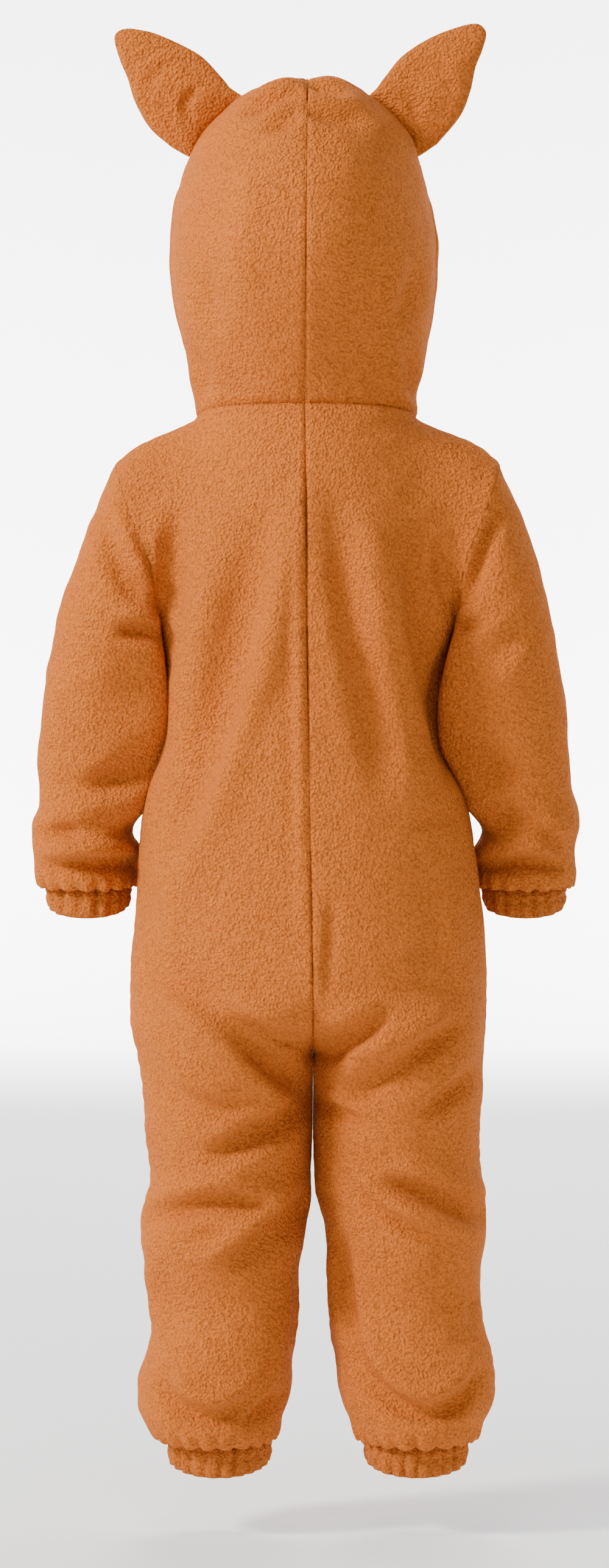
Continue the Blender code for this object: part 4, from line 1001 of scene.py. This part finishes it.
def sleeve_push(side, base, normals, angles):
    """How far folds, the armhole seam and the underarm seam move the sleeve's cloth out."""
    along = run_length(base, 0)
    x, z = base[..., 0], base[..., 2]
    behind = ease((normals[..., 1] + 0.35) / 0.7)
    calm = ease(along / 10.0) * ease((z - SLEEVE_END_Z) / 10.0)
    folds = SLEEVE_FOLDS[side]
    push = relief(folds["back"], x, z, 31 + side) * behind
    push += relief(folds["front"], x, z, 41 + side) * (1 - behind)
    push = push * calm + uneven(base, calm, (0.7, 46.0, 5 + side), (0.26, 17.0, 8))
    push += seam_groove(along, angles[None, :] * 40.0, base, 51 + side, ARMHOLE_GROOVE)
    inside = np.minimum(np.abs(angles - pi), 2 * pi - np.abs(angles - pi))[None, :] * 38.0
    return push + np.where(along > 6.0, seam_groove(inside, along, base, 53, SLEEVE_GROOVE), 0.0)


def add_sleeve(side, material):
    """A set-in sleeve that blouses over its cuff."""
    angles = 2 * pi * np.arange(SLEEVE_STEPS) / SLEEVE_STEPS
    start, rim = sleeve_start(side, angles)
    base, height = sleeve_surface(side, angles, start)
    normals = sleeve_normals(base)
    z = base[..., 2]
    push = sleeve_push(side, base, normals, angles)
    reach = GATHER_REACH * 0.8
    near_end = ease((SLEEVE_END_Z + reach - z) / reach)
    pleat = gather_wave(angles, WRIST["gathers"], 60 + side)[None, :] + 0 * z
    push += near_end ** 2 * WRIST_PLEAT * pleat * ease((height + 2) / 5.0)
    outer = base + normals * push[..., None]
    near_hem = np.exp(-((z - WRIST_SWELL_Z) / 11.0) ** 2) * np.exp(-((angles - pi) / 0.6) ** 2)
    outer += lean_on_body(side, outer, angles) + pack3(-side * WRIST_SWELL * near_hem, 0.0, 0.0)
    outer = roll_hem(outer, height, normals, pleat)
    inner = outer - normals * CLOTH
    outer[0] = start
    inner[0] = start - rim * CLOTH
    name = f"sleeve_{side_name(side)}"
    return dress(mesh_wall(f"cloth_{name}", outer, inner, True), material, name)


def wrist_place(side):
    """Middle and half sizes of the sleeve's end."""
    last = dict(zip(sleeve_table(side)["columns"], sleeve_table(side)["rows"][-1]))
    middle = (side * (last["inner"] + last["outer"]) / 2, last["middle_y"])
    return middle, (last["outer"] - last["inner"]) / 2, last["half_depth"]


def ankle_place(side):
    """Middle and half sizes of the leg's end."""
    centre, radius, _ = section_shape(side, LEG_END_Z)
    middle_y, depth = (float(smooth_read(BODY_DEPTHS, name, LEG_END_Z)) for name in ("middle", "back"))
    return (side * float(centre), middle_y), float(radius), depth


def add_cuff(word, side, place, top_z, cuff, material):
    """A gathered cuff whose back dips below its front, tighter at the elastic in its middle."""
    middle, half_width, half_depth = place
    count = cuff["gathers"] * POINTS_A_GATHER
    angle, t = np.meshgrid(2 * pi * np.arange(count) / count, even_steps(CUFF_STEPS))
    wave = cuff["wave"] * 0.8 * gather_wave(angle, cuff["gathers"], 71 + side + cuff["gathers"])
    wave = wave * (1.0 - 0.4 * t * t) * (1 - 0.25 * np.exp(-((t - 0.45) / 0.2) ** 2))
    bulge = 1.2 * np.sin(pi * t) - 0.9 * np.exp(-((t - 0.5) / 0.12) ** 2)
    tuck = 1.8 * (1 - ease(t / 0.4))
    size = 1 + (cuff["taper"] - 1) * t
    dip = cuff["top_dip"] + (cuff["bottom_dip"] - cuff["top_dip"]) * t
    x = middle[0] + half_width * size * np.cos(angle)
    y = middle[1] + half_depth * size * np.sin(angle)
    z = top_z + 1.0 - (cuff["height"] + 1.0) * t - dip * np.sin(angle)
    out = unit(pack3(np.cos(angle) / half_width, np.sin(angle) / half_depth, 0.0))
    outer = pack3(x, y, z) + out * (wave + bulge - 0.8 - tuck)[..., None]
    outer += 0.25 * out * waves(outer, 7.0, 75)[..., None]
    inner = outer - out * CUFF_CLOTH
    name = f"{word}_cuff_{side_name(side)}"
    return dress(mesh_wall(f"cloth_{name}", outer, inner, True), material, name)


# Hood and ears

def hood_grid(side, share, u):
    """Points of one hood half: u runs from the centre seam to the edge of the face opening."""
    z = HOOD_TOP_Z * np.sin(share * pi / 2) ** 0.95
    reach = np.radians(smooth_read(HOOD_EDGE, "reach", z))
    half_width, back, front, middle = (smooth_read(HOOD, name, z)
                                       for name in (side_name(side), "back", "front", "middle_y"))
    first = np.arcsin(np.minimum(HALF_GAP / np.maximum(half_width, HALF_GAP), 1.0))
    turn = np.maximum(first, np.minimum(reach, pi - first) * u)
    y = middle + np.where(turn < pi / 2, back, front) * np.cos(turn)
    seam = smooth_read(INNER_EDGES, "left", 0) * np.cos(turn / 2) ** 2
    drop = NECK_FRONT_DROP * ((1 - np.cos(turn)) / 2) ** 2 * (1 - ease(z / 60.0))
    flare = 4.0 * ease((u - 0.82) / 0.18) * ease((z - 15) / 30.0) * ease((178 - z) / 25.0)
    x = np.maximum(half_width * np.sin(turn), HALF_GAP) + flare
    return pack3(side * x + seam * (1 - ease(z / HOOD_TOP_Z)), y, z - drop)


def hood_push(base, normals, up, around):
    """How far folds, seams, the ear's bed and the hem of the face opening move the hood's cloth out."""
    x, y, z = (base[..., k] for k in range(3))
    behind = ease((normals[..., 1] + 0.3) / 0.6)
    calm = ease(up / 10.0) * ease((HOOD_TOP_Z - z) / 3.0)
    push = relief(HOOD_FOLDS, x, z, 81) * np.maximum(behind, ease((z - CROWN_Z) / 15.0)) * calm
    push += uneven(base, calm, (0.8, 70.0, 82), (0.28, 22.0, 83), 0.3)
    push += seam_groove(around, up, base, 84) * ease((HOOD_TOP_Z - z) / 2.0)
    push += seam_groove(up, around, base, 86, NECK_GROOVE)
    bed = np.exp(-((y - EAR_Y) / 3.6) ** 2) * ease((z - EAR_ROOT[0] + 6) / 5.0)
    bed = bed * ease((EAR_ROOT[-1] + 3 - z) / 4.0) * ease((np.abs(x) - 8) / 6.0)
    push = push * (1 - bed) - EAR_BED * bed
    hem = np.exp(-((around[:, -1:] - around - HOOD_HEM_WIDTH) / 1.6) ** 2)
    return push - HOOD_HEM_GROOVE * hem * ease((z - 4) / 10.0) * ease((200 - z) / 12.0)


def add_hood(side, material):
    """Half of the hood, from the seam over the crown to the edge of the face opening."""
    even = even_steps(HOOD_ROUND_STEPS)
    u = 0.35 * even + 0.65 * (0.5 - 0.5 * np.cos(pi * even))
    share, across = np.meshgrid(even_steps(HOOD_UP_STEPS), u, indexing="ij")
    base = hood_grid(side, share, across)
    normals = grid_normals(base)
    normals = normals * np.sign(np.sum(normals * (base - HOOD_MIDDLE), axis=-1, keepdims=True))
    normals[-1] = (0.0, 0.0, 1.0)
    up = run_length(base, 0)
    push = hood_push(base, normals, up, run_length(base, 1))
    outer = base + normals * push[..., None]
    inner = outer - normals * CLOTH
    sunk = unit(normals * MIDDLE_PLANE)
    sew_edge(side, slice(None), 0, base, sunk[:, 0], outer, inner, SEAM_SLANT * ease(up[:, 0] / 6.0))
    over = base[:, -1, 2] > FACE_TOP_Z
    sew_edge(side, over, -1, base, sunk[over, -1], outer, inner)
    turn = radians(HOOD_EDGE["rows"][0][1]) * u
    outer[0] = neck_seam(side, turn, SEAM_TOUCH)
    inner[0] = outer[0] - neck_rim(side, turn) * CLOTH
    name = f"hood_{side_name(side)}"
    return dress(mesh_wall(f"cloth_{name}", outer, inner, False), material, name)


def ear_root(side):
    """The ear's seam: points sunk into its bed on the hood's widest line, from the lower foot up."""
    points = []
    for z in EAR_ROOT:
        x0, x1 = (float(smooth_read(HOOD, side_name(side), z + step)) for step in (-1, 1))
        out = unit(np.array([2.0, x0 - x1]))
        shift = float(smooth_read(INNER_EDGES, "left", 0)) / 2 * (1 - float(ease(z / HOOD_TOP_Z)))
        points.append((side * ((x0 + x1) / 2 - out[0] * EAR_SINK) + shift, z - out[1] * EAR_SINK))
    return points


def add_ear(side, face, material):
    """Half of a padded ear: seam round the edge, full in the middle, with a soft crease."""
    table = EAR_LEFT if side > 0 else EAR_RIGHT
    free = list(zip(column(table, "x"), column(table, "z")))
    root = smooth_line([free[-1]] + ear_root(side) + [free[0]], 4)
    edge = np.concatenate([smooth_line(free, 8)[:-1], root[:-1]])
    centre = edge.mean(axis=0)
    middle_y = EAR_Y + face * HALF_GAP
    inset = even_steps(EAR_RINGS)[:, None] ** 1.25
    x = edge[None, :, 0] + (centre[0] - edge[None, :, 0]) * inset
    z = edge[None, :, 1] + (centre[1] - edge[None, :, 1]) * inset
    flat = pack3(x, middle_y + 0 * x, z)
    lumps = 0.5 * waves(flat, 26.0, 91 + side + face) + 0.22 * waves(flat, 11.0, 95)
    lumps += 0.5 * relief(EAR_CREASES[side], x, z, 96)
    height = EAR_HALF_THICKNESS * np.sqrt(np.maximum(1 - (1 - inset) ** 2.2, 0.0)) + 0 * x
    height = np.maximum(height + lumps * ease(inset / 0.35), 0.15 * ease(inset / 0.02))
    outer = pack3(x, middle_y + face * height, z)
    name = f"ear_{side_name(side)}_{face_name(face)}"
    piece = dress(mesh_wall(f"cloth_{name}", outer, flat, True), material, name)
    return piece


# Zip

def zip_line(side):
    """Rows down the front panel's centre edge: middle of the slot and the inward direction."""
    base, flats, zones, _ = panel_surface(side, -1)
    normals = panel_normals(base, flats, zones, -1)
    keep = (base[:, 0, 2] > ZIP_END_Z) & ((zones == "yoke") | (zones == "torso"))
    return base[keep, 0], -unit(normals[keep, 2] * MIDDLE_PLANE)


def tape_skin(side, at, inward):
    """Points and faces of the woven tape behind the cloth's edge."""
    seam = at[:, 0] - side * ZIP_SLOT
    back = CLOTH + TAPE_BEHIND
    step = ZIP_SLOT - 0.4
    profile = [(HALF_GAP, TAPE_FRONT), (step, TAPE_FRONT), (step, back), (TAPE_WIDTH, back),
               (TAPE_WIDTH, back + TAPE_THICKNESS), (HALF_GAP, back + TAPE_THICKNESS)]
    tuck = NECK_TUCK * np.exp(-np.arange(len(at)) / 3.0)
    rings = []
    for across, depth in profile:
        sag = across * across / (2 * TAPE_SAG_RADIUS)
        ring = at + inward * (depth + sag + tuck)[:, None]
        ring[:, 0] = seam + side * across
        rings.append(ring)
    rows, columns = len(at), len(profile)
    faces = []
    for r in range(rows - 1):
        for c in range(columns):
            d = (c + 1) % columns
            faces.append((r * columns + c, r * columns + d, (r + 1) * columns + d, (r + 1) * columns + c))
    faces.append(tuple(range(columns)))
    faces.append(tuple(range((rows - 1) * columns, rows * columns))[::-1])
    return [tuple(p) for p in np.stack(rings, axis=1).reshape(-1, 3)], faces


def add_tooth(points, faces, side, x, middle, into):
    """One tooth of the chain: a block through three sections, thickest in the middle one."""
    down = unit(np.cross(np.array([1.0, 0, 0]), into))
    first = len(points)
    for across, thick, wide in TOOTH_SECTIONS:
        for dy, dz in ((-1, -1), (1, -1), (1, 1), (-1, 1)):
            p = middle + into * (TOOTH_BEHIND + dy * thick) + down * dz * wide
            p[0] = x + side * across
            points.append(tuple(p))
    for a in (0, 4):
        for i in range(4):
            j = (i + 1) % 4
            faces.append((first + a + i, first + a + j, first + a + 4 + j, first + a + 4 + i))
    faces.append(tuple(first + i for i in range(4)))
    faces.append(tuple(first + 8 + i for i in (3, 2, 1, 0)))


def add_zip(side, material):
    """One half of the zip: its tape, and its row of teeth in the slot."""
    at, inward = zip_line(side)
    points, faces = tape_skin(side, at, inward)
    length = run_length(at[:, None], 0)[:, 0]
    start = FIRST_TOOTH + (0.0 if side > 0 else TOOTH_PITCH / 2)
    for k in range(int((length[-1] - 6) / TOOTH_PITCH)):
        s = start + k * TOOTH_PITCH
        middle = np.array([np.interp(s, length, at[:, i]) for i in range(3)])
        into = unit(np.array([np.interp(s, length, inward[:, i]) for i in range(3)]))
        add_tooth(points, faces, side, middle[0] - side * (ZIP_SLOT + TOOTH_OVERLAP), middle, into)
    mesh = bpy.data.meshes.new("zip")
    mesh.from_pydata([tuple(v * MM for v in p) for p in points], [], faces)
    piece = finish_mesh(f"zip_half_{side_name(side)}", mesh)
    piece.data.shade_flat()
    return dress(piece, material, f"zip_{side_name(side)}")


# Materials

def new_node(tree, kind, **values):
    """A shader node with its sockets set by name: From_Min stands for the socket From Min."""
    node = tree.nodes.new("ShaderNode" + kind)
    for name, value in values.items():
        node.inputs[name.replace("_", " ")].default_value = value
    return node


def mix_nodes(tree, factor, a, b):
    """Colour between two sockets or values."""
    node = new_node(tree, "Mix")
    node.data_type = "RGBA"
    for socket, value in ((node.inputs[0], factor), (node.inputs[6], a), (node.inputs[7], b)):
        if hasattr(value, "links"):
            tree.links.new(value, socket)
        else:
            socket.default_value = value
    return node.outputs[2]


def noise_node(tree, where, scale, detail=2.0, rough=0.5):
    """Noise over the places in one socket."""
    node = new_node(tree, "TexNoise", Scale=scale, Detail=detail, Roughness=rough)
    tree.links.new(where, node.inputs["Vector"])
    return node.outputs["Fac"]


def range_node(tree, value, low, high, out_low=0.0, out_high=1.0):
    """A value stretched from one range to another."""
    node = new_node(tree, "MapRange", From_Min=low, From_Max=high, To_Min=out_low, To_Max=out_high)
    tree.links.new(value, node.inputs["Value"])
    return node.outputs["Result"]


def multiply_add(tree, value, factor, rest):
    """A socket times a number, plus another socket."""
    node = new_node(tree, "Math")
    node.operation = "MULTIPLY_ADD"
    node.inputs[1].default_value = factor
    tree.links.new(value, node.inputs[0])
    tree.links.new(rest, node.inputs[2])
    return node.outputs[0]


def add_bump(tree, shader, height, strength, distance):
    """Fine relief in the shading, from a height socket."""
    bump = new_node(tree, "Bump", Strength=strength, Distance=distance)
    tree.links.new(height, bump.inputs["Height"])
    tree.links.new(bump.outputs["Normal"], shader.inputs["Normal"])


def new_material(name, color, roughness, metallic=0.0):
    """A material with its node tree and its one shader."""
    material = bpy.data.materials.new(name)
    material.use_nodes = True
    shader = material.node_tree.nodes["Principled BSDF"]
    shader.inputs["Base Color"].default_value = (*color, 1)
    shader.inputs["Roughness"].default_value = roughness
    shader.inputs["Metallic"].default_value = metallic
    return material, material.node_tree, shader


def fleece_material(name, deep_and_gap_shade, light, raised_nap_highlight):
    """Pebbly fleece: small tufts with painted shade in the gaps between them, a painted highlight on the
    raised fibre tips, and a soft sheen at grazing angles.
    """
    material, tree, shader = new_material(name, light, 0.95)
    place = new_node(tree, "TexCoord").outputs["Object"]
    tufts = new_node(tree, "TexVoronoi")
    tufts.feature = "SMOOTH_F1"
    tufts.inputs["Scale"].default_value = 620.0
    tufts.inputs["Smoothness"].default_value = 0.8
    tree.links.new(place, tufts.inputs["Vector"])
    fibre = noise_node(tree, place, 1500.0, 3.0, 0.65)
    patches = noise_node(tree, place, 330.0, 3.0, 0.6)
    wide = noise_node(tree, place, 22.0, 2.0, 0.5)
    tuft = range_node(tree, tufts.outputs["Distance"], 0.1, 0.75, 1.0, 0.0)
    # Painted shade: the gaps between the tufts, which the bump sinks, take the deep colour
    color = mix_nodes(tree, tuft, (*deep_and_gap_shade, 1), (*light, 1))
    # Painted highlight: the raised patches and fibres, which the bump lifts, take the tip colour
    color = mix_nodes(tree, range_node(tree, patches, 0.42, 0.72, 0.0, 0.14), color, (*raised_nap_highlight, 1))
    color = mix_nodes(tree, range_node(tree, fibre, 0.4, 0.75, 0.0, 0.42), color, (*raised_nap_highlight, 1))
    color = mix_nodes(tree, range_node(tree, wide, 0.3, 0.7, 0.0, 0.10), color, (*deep_and_gap_shade, 1))
    tree.links.new(color, shader.inputs["Base Color"])
    nap = multiply_add(tree, patches, 1.6, multiply_add(tree, fibre, 0.55, tuft))
    add_bump(tree, shader, nap, 0.9, 0.0016)
    shader.inputs["Sheen Weight"].default_value = 0.08
    shader.inputs["Sheen Roughness"].default_value = 0.5
    shader.inputs["Sheen Tint"].default_value = (1.0, 0.45, 0.15, 1)
    shader.inputs["Specular IOR Level"].default_value = 0.05
    return material


def tape_material():
    """Zip tape: a fine herringbone rib across a matte weave."""
    material, tree, shader = new_material("zip tape", (0.40, 0.155, 0.045), 0.8)
    place = new_node(tree, "TexCoord").outputs["Object"]
    rib = new_node(tree, "TexWave", Scale=320.0, Distortion=1.0)
    rib.bands_direction = "Z"
    tree.links.new(place, rib.inputs["Vector"])
    color = mix_nodes(tree, rib.outputs["Fac"], (0.30, 0.11, 0.03, 1), (0.44, 0.18, 0.055, 1))
    tree.links.new(color, shader.inputs["Base Color"])
    add_bump(tree, shader, rib.outputs["Fac"], 0.4, 0.0003)
    return material


def metal_material():
    """Satin brass of the slider and its pull, with handling marks."""
    material, tree, shader = new_material("zip brass", (0.62, 0.47, 0.27), 0.34, 1.0)
    place = new_node(tree, "TexCoord").outputs["Object"]
    marks = noise_node(tree, place, 900.0, 4.0, 0.6)
    color = mix_nodes(tree, marks, (0.38, 0.26, 0.12, 1), (0.50, 0.36, 0.18, 1))
    tree.links.new(range_node(tree, marks, 0.3, 0.7, 0.26, 0.46), shader.inputs["Roughness"])
    tree.links.new(color, shader.inputs["Base Color"])
    return material


# Stage

def stage_material(name, color):
    """A matte pale paint that glows a little, so that the far wall stays pale."""
    material, _, shader = new_material(name, color, 0.9)
    shader.inputs["Emission Color"].default_value = (1, 1, 1, 1)
    shader.inputs["Emission Strength"].default_value = STAGE_GLOW
    return material


def add_stage():
    """A round pale floor that curves up into a pale wall, so every side has the same backdrop."""
    around = np.linspace(0, 2 * pi, 97)[:-1]
    flat_end = STAGE_RADIUS - STAGE_BEND
    profile = [(r, FLOOR_Z) for r in (0.6, 1.5, 3.0, 5.0, flat_end)]
    profile += [(flat_end + STAGE_BEND * sin(a), FLOOR_Z + STAGE_BEND * (1 - cos(a)))
                for a in np.linspace(0, pi / 2, 17)[1:]]
    profile += [(STAGE_RADIUS, STAGE_TOP)]
    points = [(r * cos(a), r * sin(a), z) for r, z in profile for a in around] + [(0.0, 0.0, FLOOR_Z)]
    count = len(around)
    faces = []
    for i in range(count):
        j = (i + 1) % count
        faces.append((len(points) - 1, i, j))
        for low in range(0, (len(profile) - 1) * count, count):
            faces.append((low + count + i, low + count + j, low + j, low + i))
    mesh = bpy.data.meshes.new("stage")
    mesh.from_pydata(points, [], faces)
    mesh.shade_smooth()
    mesh.materials.append(stage_material("stage", (0.86, 0.86, 0.86)))
    stage = bpy.data.objects.new("stage_floor", mesh)
    bpy.context.scene.collection.objects.link(stage)


def add_light(name, place, target, size, power, color=(1, 1, 1)):
    """A round soft light at a place, pointed at a target: metres and watts."""
    data = bpy.data.lights.new(name, "AREA")
    data.shape = "DISK"
    data.size = size
    data.energy = power
    data.color = color
    light = bpy.data.objects.new(name, data)
    light.location = place
    light.rotation_euler = (Vector(target) - Vector(place)).to_track_quat("-Z", "Y").to_euler()
    bpy.context.scene.collection.objects.link(light)


def add_world():
    """Dim, slightly cool light from all sides."""
    world = bpy.data.worlds.new("studio")
    world.use_nodes = True
    background = world.node_tree.nodes["Background"]
    background.inputs["Color"].default_value = (0.9, 0.93, 1.0, 1)
    background.inputs["Strength"].default_value = 0.14
    bpy.context.scene.world = world


def add_camera():
    """The photograph's view: straight from behind, a little above the middle of the costume."""
    data = bpy.data.cameras.new("photo")
    data.sensor_width = SENSOR
    data.lens = SENSOR * (CAMERA_DISTANCE - PHOTO_DEPTH) / PHOTO_HEIGHT
    data.clip_end = 50.0
    camera = bpy.data.objects.new("photo", data)
    away = Vector((0.0, CAMERA_DISTANCE, 0.0))
    camera.location = Vector(PHOTO_CENTRE) + away
    camera.rotation_euler = (-away).to_track_quat("-Z", "Y").to_euler()
    bpy.context.scene.collection.objects.link(camera)
    bpy.context.scene.camera = camera


def main():
    fleece = fleece_material("caramel fleece", *FLEECE_COLORS)
    # The cuffs get a darker copy of the fleece: painted shade on the cuffs
    cuff = fleece_material("shaded cuff fleece", *SHADED_CUFF_COLORS)
    tape = tape_material()
    metal = metal_material()
    for side in (1, -1):
        add_panel(side, 1, fleece)
        add_panel(side, -1, fleece)
        add_sleeve(side, fleece)
        add_hood(side, fleece)
        add_cuff("wrist", side, wrist_place(side), SLEEVE_END_Z, WRIST, cuff)
        add_cuff("ankle", side, ankle_place(side), LEG_END_Z, ANKLE, cuff)
        add_ear(side, 1, fleece)
        add_ear(side, -1, fleece)
        add_zip(side, tape)
    for node in ("zip_slider", "zip_pull"):
        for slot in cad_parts[node].material_slots:
            slot.material = metal
    add_stage()
    for light in LIGHTS:
        add_light(*light)
    add_world()
    add_camera()


main()
